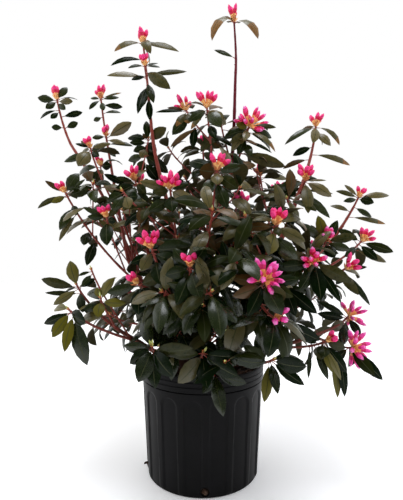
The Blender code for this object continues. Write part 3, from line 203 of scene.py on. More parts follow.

# Leaves set one by one round the heads that stand clear.  By mass and number of the shoot: the distance of
# the root behind the shoot's tip, the leaf's tip seen from the shoot's tip, its width (all in mm), its bend
# (degrees), its tint, and how far it faces the front.
SET_LEAVES = {
    ("spire", 0): (
        (8, (-57, -12, -71), 34, 145, "gold", 0.50), (6, (58, -8, -60), 34, 112, "gold", 0.50),
        (96, (-49, -4, -78), 15, 25, "dark", 0.6), (4, (-32, -6, 0), 17, 80, "bronze", 0.5),
        (6, (-12, 54, 26), 20, 30, "bronze", 0.1), (8, (16, 50, 22), 20, 30, "green", 0.1)),
    ("left_spire", 0): (
        (4, (-68, -6, -30), 20, 75, "tan", 0.6), (3, (25, -30, -50), 24, 105, "green", 0.7),
        (6, (87, 4, -24), 21, 50, "green", 0.6), (2, (34, 10, 2), 9, 30, "dark", 0.5),
        (46, (-76, -8, -66), 16, 70, "dark", 0.6), (10, (8, 34, -36), 20, 50, "dark", 0.5),
        (112, (-3, -8, -162), 18, 30, "dark", 0.8), (130, (18, -6, -192), 18, 30, "dark", 0.8)),
    ("left_spire", 1): (
        (4, (36, -6, -11), 10, 30, "dark", 0.5), (3, (29, 12, 8), 11, 20, "dark", 0.5),
        (5, (-36, -14, -18), 10, 55, "dark", 0.6), (32, (-89, 6, -27), 17, 40, "green", 0.6),
        (27, (-28, -14, -44), 13, 30, "dark", 0.7), (16, (64, -20, -68), 29, 45, "green", 0.9),
        (26, (98, 10, -14), 18, 22, "green", 0.6), (42, (20, 10, -88), 19, 40, "dark", 0.7),
        (62, (-14, -8, -122), 20, 40, "dark", 0.7)),
    ("far_left", 0): (
        (6, (-47, -4, 1), 22, 30, "dark", 0.8), (8, (-22, -16, -32), 19, 40, "dark", 0.9),
        (3, (25, 6, 31), 21, 35, "dark", 0.9), (5, (53, 8, -4), 10, 60, "dark", 0.4),
        (8, (46, -12, -12), 18, 30, "green", 0.8), (12, (28, -14, -34), 17, 35, "dark", 0.8),
        (32, (-43, 6, -54), 14, 65, "dark", 0.6), (36, (-10, -12, -56), 17, 35, "dark", 0.8),
        (50, (65, 4, -35), 18, 20, "dark", 0.8), (80, (-9, -6, -77), 17, 20, "dark", 0.8),
        (82, (54, 0, -64), 20, 20, "dark", 0.8)),
    ("left_top", 0): (
        (2, (54, 4, 14), 7, 20, "tan", 0.6), (6, (51, -6, -4), 13, 50, "dark", 0.7),
        (20, (57, 4, -24), 17, 25, "dark", 0.8), (46, (56, -6, -46), 11, 60, "dark", 0.6),
        (7, (-28, -8, -36), 14, 60, "dark", 0.7), (10, (12, -14, -40), 17, 40, "dark", 0.8),
        (54, (-16, -6, -64), 14, 30, "dark", 0.8), (5, (-30, 14, 4), 12, 30, "dark", 0.6)),
    ("left_top", 1): (
        (8, (68, -6, 32), 30, 30, "green", 0.9), (4, (-34, -6, -9), 15, 40, "dark", 0.7),
        (24, (-34, -14, -46), 24, 45, "dark", 0.9), (14, (54, -10, -27), 14, 50, "olive", 0.7),
        (28, (73, 0, -32), 14, 60, "dark", 0.6), (34, (30, -16, -62), 16, 40, "dark", 0.8)),
    ("left_upper", 0): (
        (4, (-33, -4, 5), 10, 40, "dark", 0.6), (3, (-24, 10, 16), 12, 20, "green", 0.6),
        (6, (50, 0, 7), 14, 40, "green", 0.7), (9, (-22, -22, -54), 36, 60, "green", 0.9),
        (16, (-60, -4, -38), 19, 45, "dark", 0.8), (12, (30, -24, -30), 18, 40, "dark", 0.8)),
    ("left_upper", 1): (
        (6, (30, -10, -4), 22, 50, "dark", 0.8), (10, (8, -16, -30), 12, 30, "tan", 0.8),
        (26, (62, -6, -50), 18, 45, "dark", 0.8), (18, (-32, -10, -42), 20, 40, "dark", 0.8)),
    ("left_outer", 0): (
        (4, (-43, -6, 24), 13, 15, "bronze", 0.8), (6, (31, 8, 43), 32, 55, "dark", 0.8),
        (8, (48, 0, 28), 12, 30, "dark", 0.7), (14, (68, -8, 8), 26, 50, "green", 0.8),
        (14, (-60, -4, -43), 16, 70, "green", 0.6), (10, (-24, -16, -28), 16, 30, "olive", 0.8),
        (34, (34, -12, -56), 20, 40, "dark", 0.8), (40, (-6, -14, -92), 22, 45, "dark", 0.9),
        (58, (-8, -10, -118), 16, 40, "green", 0.7), (108, (50, -14, -128), 28, 45, "dark", 0.9),
        (135, (57, -14, -175), 26, 40, "dark", 0.9)),
    ("left_outer", 1): (
        (5, (-48, -4, 18), 13, 30, "dark", 0.7), (4, (-37, -8, -2), 15, 40, "dark", 0.8),
        (12, (9, -24, -66), 32, 40, "dark", 0.9), (5, (28, -2, 18), 15, 30, "green", 0.8),
        (8, (24, -8, -12), 16, 40, "dark", 0.8)),
    ("upper_left", 2): (
        (14, (-45, -6, -13), 17, 40, "dark", 0.8), (8, (46, -8, 24), 28, 60, "green", 0.9),
        (10, (20, -14, -32), 20, 40, "dark", 0.9), (24, (-35, -12, -36), 20, 40, "dark", 0.8),
        (30, (-16, -18, -54), 24, 40, "green", 0.9), (50, (-48, -6, -58), 20, 40, "dark", 0.8),
        (50, (24, -14, -72), 24, 40, "dark", 0.9), (6, (-14, 4, 12), 12, 30, "bronze", 0.7),
        (12, (16, 6, -40), 24, 45, "dark", 0.8), (34, (22, 4, -70), 26, 40, "dark", 0.9),
        (44, (48, 10, -84), 28, 40, "dark", 0.9), (6, (-6, 6, 44), 20, 45, "dark", 0.8),
        (70, (26, -8, -108), 26, 40, "dark", 0.9), (60, (-22, -8, -84), 24, 40, "green", 0.9)),
    ("upper_left", 0): (
        (6, (-43, -6, 4), 13, 30, "dark", 0.7), (10, (-50, -14, -40), 34, 45, "dark", 0.9),
        (12, (-16, -20, -62), 30, 45, "dark", 0.9), (8, (30, -16, -36), 22, 45, "green", 0.9),
        (20, (34, -10, -70), 26, 40, "dark", 0.9)),
    ("centre_left", 0): (
        (4, (-62, -6, 12), 20, 45, "green", 0.8), (6, (-34, -14, -12), 22, 60, "green", 0.8),
        (5, (47, -14, -34), 30, 50, "green", 0.9), (6, (40, -4, 8), 16, 40, "dark", 0.7),
        (14, (8, -20, -54), 30, 45, "dark", 0.95), (22, (-44, -12, -52), 26, 45, "dark", 0.9)),
    ("centre_left", 1): (
        (4, (-28, -8, -22), 24, 45, "dark", 0.9), (8, (-18, -10, -44), 22, 45, "dark", 0.9),
        (10, (16, -10, -38), 26, 40, "green", 0.9), (16, (34, -8, -12), 22, 50, "dark", 0.8),
        (30, (10, 20, -30), 24, 40, "dark", 0.6)),
    ("back_left_out", 1): (
        (4, (30, 22, 22), 24, 40, "dark", 0.4), (5, (-20, 26, 30), 24, 40, "dark", 0.4),
        (6, (8, 44, 8), 26, 45, "green", 0.2), (12, (28, 40, -6), 24, 40, "dark", 0.2)),
    ("low_right", 0): (
        (6, (-90, -6, 40), 30, 45, "dark", 0.9), (5, (34, -10, -12), 24, 40, "green", 0.9),
        (14, (-10, -18, -30), 28, 40, "green", 0.9), (10, (23, -14, -78), 15, 40, "olive", 0.8),
        (8, (38, -8, -64), 24, 45, "dark", 0.9), (20, (-56, -4, 16), 20, 40, "dark", 0.8),
        (12, (10, 44, -20), 24, 50, "dark", 0.5), (30, (-2, -10, -78), 18, 30, "dark", 0.8),
        (40, (-42, -8, -76), 10, 30, "dark", 0.7), (20, (-18, -14, -36), 30, 40, "green", 0.9),
        (12, (6, -12, -62), 18, 40, "olive", 0.9)),
    ("inner_right", 0): (
        (6, (68, -14, -64), 30, 40, "dark", 0.9), (8, (-30, -14, -50), 28, 40, "dark", 0.9),
        (5, (20, -16, -70), 28, 40, "dark", 0.9), (12, (46, -6, -20), 22, 40, "dark", 0.8),
        (14, (-50, -4, -10), 24, 40, "green", 0.8)),
    ("centre", 0): (
        (5, (0, -22, -36), 26, 40, "green", 0.95), (6, (-36, -10, -4), 34, 50, "bronze", 0.9),
        (6, (50, -8, 6), 20, 40, "dark", 0.8), (10, (42, -16, -44), 26, 40, "green", 0.9),
        (16, (-30, -16, -56), 26, 45, "dark", 0.9), (24, (20, -16, -84), 28, 45, "dark", 0.9)),
    ("right_mid", 0): (
        (8, (-63, 0, 38), 22, 50, "dark", 0.8), (5, (66, 0, 8), 22, 50, "green", 0.7),
        (8, (50, -8, -22), 20, 50, "dark", 0.8), (10, (-18, 4, 54), 26, 40, "olive", 0.9),
        (12, (12, -20, -40), 26, 40, "dark", 0.9), (16, (-44, -12, -30), 22, 40, "dark", 0.8),
        (12, (26, 6, 44), 22, 40, "dark", 0.9)),
    ("right_mid", 1): (
        (6, (-75, -6, 20), 30, 45, "green", 0.9), (8, (-82, -8, -12), 24, 45, "dark", 0.8),
        (8, (8, -22, -77), 34, 40, "dark", 0.95), (16, (52, -14, -83), 20, 40, "dark", 0.9),
        (5, (75, -10, -40), 28, 55, "green", 0.9), (3, (-12, -4, 28), 17, 30, "olive", 0.8),
        (14, (-36, -16, -60), 28, 40, "dark", 0.9)),
    ("front_right", 0): (
        (6, (-70, -6, -12), 18, 80, "bronze", 0.7), (4, (4, -18, -24), 18, 40, "green", 0.9),
        (6, (56, -10, -36), 24, 60, "green", 0.8), (14, (-20, -22, -62), 32, 45, "olive", 0.95),
        (16, (-52, -10, -40), 26, 50, "dark", 0.8), (24, (40, -10, -70), 28, 45, "dark", 0.9)),
    ("front_big", 0): (
        (6, (28, -20, -61), 34, 40, "dark", 0.95), (8, (-33, -16, -64), 26, 40, "dark", 0.9),
        (5, (50, -10, -30), 24, 50, "green", 0.8), (8, (-59, -6, 4), 22, 40, "bronze", 0.8),
        (16, (-59, -10, -29), 24, 50, "bronze", 0.8), (14, (62, -4, 2), 22, 40, "dark", 0.7)),
    ("front_centre", 0): (
        (6, (-44, -14, -16), 26, 45, "dark", 0.9), (8, (20, -24, -60), 30, 45, "dark", 0.95),
        (6, (52, -10, -24), 26, 50, "dark", 0.9), (14, (-24, -20, -70), 30, 45, "dark", 0.95),
        (10, (-30, 6, 30), 24, 30, "dark", 0.8), (12, (28, 8, 34), 24, 30, "dark", 0.8)),
    ("front_left", 1): (
        (6, (-58, -6, -18), 22, 50, "dark", 0.8), (8, (6, -20, -60), 34, 45, "dark", 0.95),
        (6, (52, -8, 20), 28, 45, "green", 0.9), (10, (36, -16, -40), 28, 45, "dark", 0.9)),
    ("low_right_out", 0): (
        (6, (-74, 0, 34), 16, 50, "dark", 0.7), (8, (-78, -8, 8), 22, 50, "dark", 0.8),
        (5, (22, -14, -43), 20, 40, "dark", 0.9), (14, (-50, -14, -30), 28, 50, "green", 0.9),
        (20, (-20, -14, -66), 26, 45, "dark", 0.9)),
    ("low_left_front", 0): (
        (6, (-40, -10, -29), 28, 45, "dark", 0.9), (5, (-22, -26, -60), 36, 40, "dark", 1.0),
        (7, (44, -28, -48), 36, 40, "dark", 1.0), (10, (80, -16, 2), 32, 50, "green", 0.9),
        (16, (10, -20, -74), 30, 45, "dark", 0.95), (14, (-52, -4, 4), 24, 50, "dark", 0.8)),
    ("low_front", 0): (
        (5, (70, -14, 0), 26, 50, "dark", 0.9), (7, (66, -24, -38), 36, 40, "dark", 0.95),
        (6, (-70, -14, 8), 28, 50, "green", 0.9), (8, (-48, -26, -50), 36, 40, "green", 1.0),
        (12, (8, -30, -60), 32, 40, "dark", 1.0)),
    ("front_left", 0): (
        (6, (76, -8, 2), 36, 45, "dark", 0.9), (12, (60, -16, -30), 28, 45, "dark", 0.9),
        (8, (-18, -16, -46), 24, 45, "green", 0.9), (16, (-38, -6, -30), 20, 40, "dark", 0.8),
        (26, (20, -16, -72), 28, 45, "dark", 0.9)),
    ("low_left_out", 1): (
        (4, (-26, -4, -13), 8, 60, "green", 0.6), (8, (-18, -10, -34), 14, 30, "dark", 0.8)),
    ("low_left_high", 1): (
        (6, (34, -6, 44), 16, 60, "olive", 0.8), (4, (-6, -4, 20), 18, 20, "olive", 0.9),
        (8, (0, -18, -38), 26, 40, "olive", 0.9), (10, (56, -8, -10), 20, 50, "olive", 0.8),
        (14, (-34, -6, -26), 18, 40, "dark", 0.8)),
    ("top_pair", 0): (
        (8, (34, -22, -58), 32, 60, "dark", 0.9), (7, (46, 4, -44), 26, 95, "green", 0.8),
        (8, (-44, -14, -42), 22, 70, "dark", 0.8), (12, (-36, 14, -50), 18, 60, "tan", 0.6),
        (40, (20, -20, -84), 22, 45, "dark", 0.8)),
    ("top_pair", 1): (
        (3, (-25, 0, 34), 9, 25, "tan", 0.6), (5, (-48, 6, 6), 13, 30, "bronze", 0.6),
        (8, (-76, -4, -10), 12, 35, "dark", 0.6), (20, (-34, -18, -70), 30, 40, "dark", 0.9),
        (10, (6, -22, -44), 24, 40, "tan", 0.8), (6, (36, 12, -22), 24, 50, "green", 0.7),
        (7, (-24, -20, -50), 20, 40, "tan", 0.8), (6, (14, -12, -36), 18, 40, "dark", 0.9),
        (52, (18, -16, -104), 22, 40, "dark", 0.8), (64, (-38, -6, -98), 15, 45, "bronze", 0.7)),
    ("top_right", 0): (
        (4, (66, 2, -5), 16, 35, "green", 0.6), (5, (56, 10, -28), 22, 60, "dark", 0.8),
        (18, (62, -10, -74), 15, 90, "tan", 0.6), (40, (55, 0, -70), 11, 50, "dark", 0.6),
        (16, (-50, -14, -49), 18, 60, "green", 0.8), (12, (-18, -32, -49), 20, 60, "green", 0.9),
        (8, (-52, 8, -14), 15, 70, "bronze", 0.6), (44, (4, -22, -82), 22, 50, "dark", 0.9),
        (28, (-82, 4, -40), 12, 40, "dark", 0.5), (70, (88, -14, -106), 31, 50, "green", 0.9),
        (10, (-62, -6, -30), 24, 50, "dark", 0.8), (14, (-46, -10, -66), 24, 45, "green", 0.9),
        (6, (-34, -12, 0), 18, 50, "olive", 0.8), (26, (-30, -12, -76), 22, 45, "dark", 0.9)),
    ("right_top", 0): (
        (6, (-82, -4, -54), 17, 70, "dark", 0.6), (3, (-32, 6, -8), 11, 60, "bronze", 0.6),
        (4, (-18, -28, -54), 25, 55, "green", 0.9), (5, (56, -2, -55), 17, 90, "tan", 0.6),
        (20, (32, -14, -57), 22, 75, "green", 0.8), (60, (-60, -4, -79), 19, 70, "dark", 0.7),
        (82, (83, 0, -104), 20, 45, "tan", 0.6), (96, (-80, 8, -110), 16, 60, "bronze", 0.6),
        (10, (22, 34, -40), 18, 50, "dark", 0.5)),
    ("right_mid_top", 0): (
        (6, (-68, -8, -23), 24, 60, "dark", 0.8), (6, (57, -8, -42), 24, 70, "green", 0.8),
        (3, (28, 12, 4), 14, 30, "dark", 0.6), (4, (48, 4, -2), 8, 20, "green", 0.5),
        (6, (-4, -36, -84), 28, 50, "green", 0.9), (28, (63, 4, -34), 10, 40, "green", 0.6),
        (16, (-80, 10, -46), 28, 40, "dark", 0.8), (34, (53, -8, -90), 20, 50, "dark", 0.8)),
    ("right_outer_top", 0): (
        (4, (-60, -4, 12), 16, 40, "green", 0.6), (2, (-33, 8, 30), 12, 30, "green", 0.7),
        (8, (-44, -12, -14), 14, 50, "dark", 0.7), (4, (76, 2, 1), 19, 50, "green", 0.6),
        (6, (30, -18, -18), 22, 60, "dark", 0.8), (46, (-73, 0, -26), 15, 60, "green", 0.6),
        (30, (27, -8, -52), 15, 40, "dark", 0.8), (60, (66, 4, -70), 16, 30, "tan", 0.6)),
    ("right_outer", 0): (
        (4, (-58, 4, 28), 22, 30, "green", 0.8), (5, (74, -4, -28), 24, 45, "green", 0.8),
        (12, (30, -18, -48), 22, 50, "dark", 0.9), (30, (56, -4, -54), 20, 40, "green", 0.7),
        (18, (-50, -14, -40), 20, 50, "dark", 0.8)),
    ("right_outer", 1): (
        (4, (43, -8, 2), 12, 20, "dark", 0.6), (6, (-32, -20, -36), 22, 50, "dark", 0.9),
        (14, (48, -12, -85), 15, 55, "dark", 0.8), (22, (18, -28, -61), 22, 60, "green", 0.9)),
    ("low_right_out", 1): (
        (8, (61, -8, -68), 26, 50, "dark", 0.8), (34, (-22, -10, -104), 22, 40, "dark", 0.9),
        (44, (-36, -4, -108), 20, 40, "olive", 0.8), (6, (34, -34, -52), 26, 50, "green", 0.9),
        (8, (-58, -10, -30), 24, 50, "dark", 0.8)),
    ("low_left_high", 0): (
        (5, (-16, 6, 54), 30, 50, "olive", 0.9), (6, (-78, -2, 14), 24, 60, "green", 0.8),
        (8, (44, -4, 14), 16, 40, "dark", 0.7), (10, (-48, -10, -44), 20, 60, "olive", 0.8),
        (24, (-70, -2, -18), 12, 20, "green", 0.7), (16, (22, -20, -60), 22, 50, "dark", 0.9)),
    ("low_left_out", 0): (
        (5, (46, -30, -20), 36, 40, "dark", 1.0), (6, (-31, -8, -56), 24, 45, "olive", 0.9),
        (14, (0, -22, -84), 24, 45, "olive", 0.9), (16, (46, -18, -112), 38, 35, "dark", 1.0),
        (8, (-52, 4, -30), 20, 60, "dark", 0.8)),
    ("low_front", 1): (
        (8, (12, -40, -72), 28, 50, "dark", 1.0), (6, (58, -14, -16), 26, 50, "dark", 0.8),
        (8, (-30, -34, -30), 24, 50, "dark", 0.8)),
    ("low_front_right", 0): (
        (14, (-22, -24, -72), 22, 40, "olive", 0.9), (10, (2, -34, -54), 20, 40, "dark", 0.9),
        (8, (55, -12, -44), 22, 40, "dark", 0.8), (5, (58, -20, -6), 34, 50, "dark", 0.9),
        (12, (-70, -10, 4), 28, 50, "dark", 0.9), (20, (-58, -14, 32), 28, 45, "green", 0.9),
        (30, (-30, 4, 50), 28, 40, "dark", 0.9), (44, (-92, -4, 18), 28, 45, "dark", 0.9)),
}


# ---------------------------------------------------------------- colours and nodes
def linear(code):
    """An sRGB hex colour as the linear numbers that shader sockets hold."""
    out = []
    for k in (1, 3, 5):
        c = int(code[k:k + 2], 16) / 255.0
        out.append(c / 12.92 if c <= 0.04045 else ((c + 0.055) / 1.055) ** 2.4)
    return tuple(out)


def add_node(tree, kind, settings=None, links=None):
    """A shader node with its settings and input values, and the links into it."""
    node = tree.nodes.new("ShaderNode" + kind)
    for key, value in (settings or {}).items():
        if isinstance(key, int) or key in node.inputs:
            node.inputs[key].default_value = value
        else:
            setattr(node, key, value)
    for key, source in (links or {}).items():
        tree.links.new(source, node.inputs[key])
    return node


def start_material(name, **constants):
    """An empty material with its shader; the constants go straight onto the shader's sockets."""
    mat = bpy.data.materials.new(name)
    mat.use_nodes = True
    tree = mat.node_tree
    tree.nodes.clear()
    shader = add_node(tree, "BsdfPrincipled", {k.replace("_", " "): v for k, v in constants.items()})
    add_node(tree, "OutputMaterial", links={"Surface": shader.outputs["BSDF"]})
    coords = add_node(tree, "TexCoord")
    return mat, tree, shader, coords.outputs["Object"]


def rgba(colour):
    return (*colour[:3], 1.0)


def shade(colour, factor):
    """The same colour, lighter or darker."""
    return tuple(min(1.0, c * factor) for c in colour[:3])


def fine_relief(tree, shader, where, grain_mm, depth_mm, strength, detail=2.0):
    """Small bumps of a real grain and depth."""
    bumps = add_node(tree, "TexNoise", {"Scale": 1000.0 / grain_mm, "Detail": detail}, {"Vector": where})
    relief = add_node(tree, "Bump", {"Distance": depth_mm / 1000.0, "Strength": strength},
                      {"Height": bumps.outputs["Fac"]})
    tree.links.new(relief.outputs["Normal"], shader.inputs["Normal"])


def leaf_by_leaf(tree, shader, where, drift):
    """Each separate leaf has its own share of the second colour and its own wax; leaves low on the bush are
    painted darker, as painted shade.  Returns the share."""
    each = add_node(tree, "NewGeometry")
    mixed = add_node(tree, "Mix", {0: 0.62}, {2: drift.outputs["Fac"], 3: each.outputs["Random Per Island"]})
    split = add_node(tree, "SeparateXYZ", links={"Vector": where})
    # Painted shade: the lower a leaf hangs, the further its colour is pulled toward the dark end of its ramp.
    height_ramp = add_node(tree, "MapRange", {"From Min": 0.34, "From Max": 0.62, "To Min": 0.55},
                   {"Value": split.outputs["Z"]})
    shaded_low = add_node(tree, "Math", {"operation": "MULTIPLY"}, {0: mixed.outputs[0], 1: height_ramp.outputs["Result"]})
    few = add_node(tree, "Math", {"operation": "POWER", 1: 2.0}, {0: each.outputs["Random Per Island"]})
    wax = add_node(tree, "MapRange", {"To Min": 0.05, "To Max": 0.62}, {"Value": few.outputs["Value"]})
    tree.links.new(wax.outputs["Result"], shader.inputs["Specular IOR Level"])
    return shaded_low.outputs["Value"]


def grained(name, colour, spread, grain_mm, rough, rough_spread=0.08, bump_mm=0.0, bump_grain_mm=1.0,
            other=None, **constants):
    """A finish whose colour and roughness drift by a noise, with a fine relief; another colour is shared out
    leaf by leaf."""
    mat, tree, shader, where = start_material(name, **constants)
    drift = add_node(tree, "TexNoise", {"Scale": 1000.0 / grain_mm, "Detail": 3.0, "Roughness": 0.6},
                     {"Vector": where})
    share = drift.outputs["Fac"] if other is None else leaf_by_leaf(tree, shader, where, drift)
    tone = add_node(tree, "ValToRGB", links={"Fac": share})
    low, high = tone.color_ramp.elements
    low.position, low.color = 0.24, rgba(shade(colour, 1.0 - spread))
    high.position, high.color = 0.76, rgba(shade(colour if other is None else other, 1.0 + spread))
    tree.links.new(tone.outputs["Color"], shader.inputs["Base Color"])
    dull = add_node(tree, "MapRange", {"From Min": 0.3, "From Max": 0.7, "To Min": rough - rough_spread,
                                       "To Max": rough + rough_spread}, {"Value": drift.outputs["Fac"]})
    tree.links.new(dull.outputs["Result"], shader.inputs["Roughness"])
    if bump_mm:
        fine_relief(tree, shader, where, bump_grain_mm, bump_mm, 0.6)
    return mat


# ---------------------------------------------------------------- materials, named for the real finishes
def moulded_pot_plastic(colours):
    """Polyethylene with carbon black, blow moulded: a satin black skin with broad soft lights and a dusty
    bloom."""
    mat, tree, shader, where = start_material("moulded_pot_plastic", IOR=1.51, Specular_IOR_Level=0.08,
                                              Metallic=0.0)
    bloom = add_node(tree, "TexNoise", {"Scale": 1000.0 / 70.0, "Detail": 5.0, "Roughness": 0.65},
                     {"Vector": where})
    tone = add_node(tree, "ValToRGB", links={"Fac": bloom.outputs["Fac"]})
    low, high = tone.color_ramp.elements
    low.position, low.color = 0.35, rgba(colours.pot_black)
    high.position, high.color = 0.75, rgba(colours.pot_bloom)
    tree.links.new(tone.outputs["Color"], shader.inputs["Base Color"])
    dull = add_node(tree, "MapRange", {"To Min": 0.34, "To Max": 0.52}, {"Value": bloom.outputs["Fac"]})
    tree.links.new(dull.outputs["Result"], shader.inputs["Roughness"])
    fine_relief(tree, shader, where, 1.6, 0.2, 0.25)
    return mat


def rind(name, young, old, old_height, young_height):
    """Thin rind of a woody stem: red and smooth while young, brown, dull and finely fissured below.  The
    fissures stand 2.2 mm apart and run four times as long."""
    mat, tree, shader, where = start_material(name, IOR=1.45, Specular_IOR_Level=0.3, Metallic=0.0)
    split = add_node(tree, "SeparateXYZ", links={"Vector": where})
    drift = add_node(tree, "TexNoise", {"Scale": 1000.0 / 14.0, "Detail": 4.0, "Roughness": 0.65},
                     {"Vector": where})
    height_ramp = add_node(tree, "MapRange", {"From Min": old_height, "From Max": young_height},
                   {"Value": split.outputs["Z"]})
    mottled = add_node(tree, "Math", {"operation": "MULTIPLY_ADD", 1: 0.9, 2: -0.45},
                       {0: drift.outputs["Fac"]})
    blend = add_node(tree, "Math", {"operation": "ADD", "use_clamp": True},
                     {0: height_ramp.outputs["Result"], 1: mottled.outputs["Value"]})
    tone = add_node(tree, "ValToRGB", links={"Fac": blend.outputs["Value"]})
    low, high = tone.color_ramp.elements
    low.position, low.color = 0.10, rgba(old)
    high.position, high.color = 0.90, rgba(young)
    tree.links.new(tone.outputs["Color"], shader.inputs["Base Color"])
    dull = add_node(tree, "MapRange", {"To Min": 0.80, "To Max": 0.46}, {"Value": blend.outputs["Value"]})
    tree.links.new(dull.outputs["Result"], shader.inputs["Roughness"])
    stretch = add_node(tree, "Mapping", {"Scale": (1.0, 1.0, 0.25)}, {"Vector": where})
    fine_relief(tree, shader, stretch.outputs["Vector"], 2.2, 0.5, 0.7, 3.0)
    return mat


def waxy_leaf(name, colour, rough, other=None):
    """Upper side of an evergreen leaf: waxed and glossy, its green uneven, and another in each leaf.  The net
    of veins, about 1 mm apart, is drawn 2.6 mm apart, or it wouldn't show."""
    return grained(name, colour, spread=0.30, grain_mm=9.0, rough=rough, rough_spread=0.07, bump_mm=0.25,
                   bump_grain_mm=2.6, other=other, IOR=1.46, Specular_IOR_Level=0.27, Metallic=0.0)


def dull_leaf_underside(name, colour):
    """Lower side of the leaf: unwaxed and scaly, so paler and quite matt.  The scales, under 0.5 mm across,
    are drawn at 1.2 mm to show at all."""
    return grained(name, colour, spread=0.18, grain_mm=4.0, rough=0.72, rough_spread=0.06, bump_mm=0.15,
                   bump_grain_mm=1.2, IOR=1.42, Specular_IOR_Level=0.2, Metallic=0.0)


def petal(name, colour):
    """Closed petals: thin and full of sap, with a soft satin light and a faint streak of deeper colour every
    5 mm; their veins stand 1.5 mm apart."""
    return grained(name, colour, spread=0.14, grain_mm=5.0, rough=0.50, rough_spread=0.06, bump_mm=0.12,
                   bump_grain_mm=1.5, IOR=1.42, Specular_IOR_Level=0.3, Metallic=0.0)


def bud_scale(name, colour):
    """Papery scales round a bud, a little greasy, browner in spots of 3 mm where they dry."""
    return grained(name, colour, spread=0.25, grain_mm=3.0, rough=0.55, bump_mm=0.15, bump_grain_mm=1.2,
                   IOR=1.45, Metallic=0.0)


def composted_bark(name, colour, spread, grain_mm, bump_mm, bump_grain_mm, rough=0.82):
    """Composted conifer bark: rough wood fibre, dull, damp and dark in the mix, lighter on dry chips."""
    return grained(name, colour, spread, grain_mm, rough, 0.06, bump_mm, bump_grain_mm, IOR=1.45,
                   Metallic=0.0)


# ---------------------------------------------------------------- modelling by operators
def deselect():
    """Leave edit mode, with nothing selected."""
    if bpy.context.object is not None and bpy.context.object.mode != "OBJECT":
        bpy.ops.object.mode_set(mode="OBJECT")
    bpy.ops.object.select_all(action="DESELECT")


def use(obj):
    """Only this object selected, and active."""
    deselect()
    obj.select_set(True)
    bpy.context.view_layer.objects.active = obj


def apply_modifiers(obj):
    use(obj)
    for modifier in list(obj.modifiers):
        bpy.ops.object.modifier_apply(modifier=modifier.name)


def settle(obj, name):
    """Give the piece its name and put its place into its mesh."""
    use(obj)
    obj.name = name
    obj.data.name = name
    bpy.ops.object.transform_apply(location=True, rotation=True, scale=True)
    return obj


def smooth(obj, degrees):
    """Smooth shading, apart from edges sharper than this."""
    use(obj)
    bpy.ops.object.shade_smooth_by_angle(angle=math.radians(degrees))


def turned(name, profile, sides):
    """A turned body: a ring is extruded and scaled from one profile point to the next, and closed at both
    ends."""
    deselect()
    radius, height = profile[0]
    bpy.ops.mesh.primitive_circle_add(vertices=sides, radius=radius, fill_type="NGON",
                                      location=(0, 0, height))
    obj = bpy.context.object
    bpy.ops.object.transform_apply(location=True, rotation=False, scale=False)
    bpy.ops.object.mode_set(mode="EDIT")
    bpy.ops.mesh.select_mode(type="EDGE")
    bpy.ops.mesh.select_all(action="SELECT")
    for (r0, z0), (r1, z1) in zip(profile, profile[1:]):
        bpy.ops.mesh.extrude_edges_move(TRANSFORM_OT_translate={"value": (0.0, 0.0, z1 - z0)})
        bpy.ops.transform.resize(value=(r1 / r0, r1 / r0, 1.0), center_override=(0.0, 0.0, z1))
    bpy.ops.mesh.edge_face_add()
    bpy.ops.mesh.select_all(action="SELECT")
    bpy.ops.mesh.normals_make_consistent(inside=False)
    bpy.ops.object.mode_set(mode="OBJECT")
    return settle(obj, name)


class Heap:
    """Many small shapes gathered from arrays into one mesh, each face with its material slot."""

    def __init__(self):
        self.verts = []
        self.faces = []
        self.slots = []

    def add(self, verts, faces, slots):
        base = len(self.verts)
        self.verts.extend(verts)
        self.faces.extend(tuple(base + i for i in face) for face in faces)
        self.slots.extend([slots] * len(faces) if isinstance(slots, int) else slots)

    def piece(self, name, materials, degrees=50.0):
        mesh = bpy.data.meshes.new(name)
        mesh.from_pydata([tuple(v) for v in self.verts], [], self.faces)
        for mat in materials:
            mesh.materials.append(mat)
        mesh.polygons.foreach_set("material_index", self.slots)
        mesh.update()
        obj = bpy.data.objects.new(name, mesh)
        bpy.context.scene.collection.objects.link(obj)
        smooth(obj, degrees)
        return obj


# ---------------------------------------------------------------- growth
def any_turn(rng):
    """Some angle round an axis."""
    return rng.uniform(0, 6.28)


def out_of(axis, turn):
    """The way straight out from an axis, at a turn round it."""
    return Matrix.Rotation(turn, 3, axis) @ axis.orthogonal().normalized()


def between(u, v, turn):
    """The way at a turn from u towards v."""
    return u * math.cos(turn) + v * math.sin(turn)


def across_to(way, axis):
    """The part of a way that stands square to the axis."""
    return (way - axis * way.dot(axis)).normalized()


def bezier(p0, p1, p2, p3, steps):
    """The points of a cubic curve."""
    out = []
    for k in range(steps + 1):
        t = k / steps
        out.append(p0 * (1 - t) ** 3 + p1 * 3 * t * (1 - t) ** 2 + p2 * 3 * t * t * (1 - t) + p3 * t ** 3)
    return out


def through(points, steps):
    """A smooth path through its guide points."""
    out = [points[0]]
    last = len(points) - 1
    for k in range(last):
        a, b = points[k], points[k + 1]
        before = points[k - 1] if k else a - (b - a) * 0.6
        after = points[k + 2] if k + 2 <= last else b + (b - a) * 0.6
        out += bezier(a, a + (b - before) / 6, b - (after - a) / 6, b, steps)[1:]
    return out


def tangents_of(path):
    """The way on at each point of a path."""
    last = len(path) - 1
    return [(path[min(k + 1, last)] - path[max(k - 1, 0)]).normalized() for k in range(last + 1)]


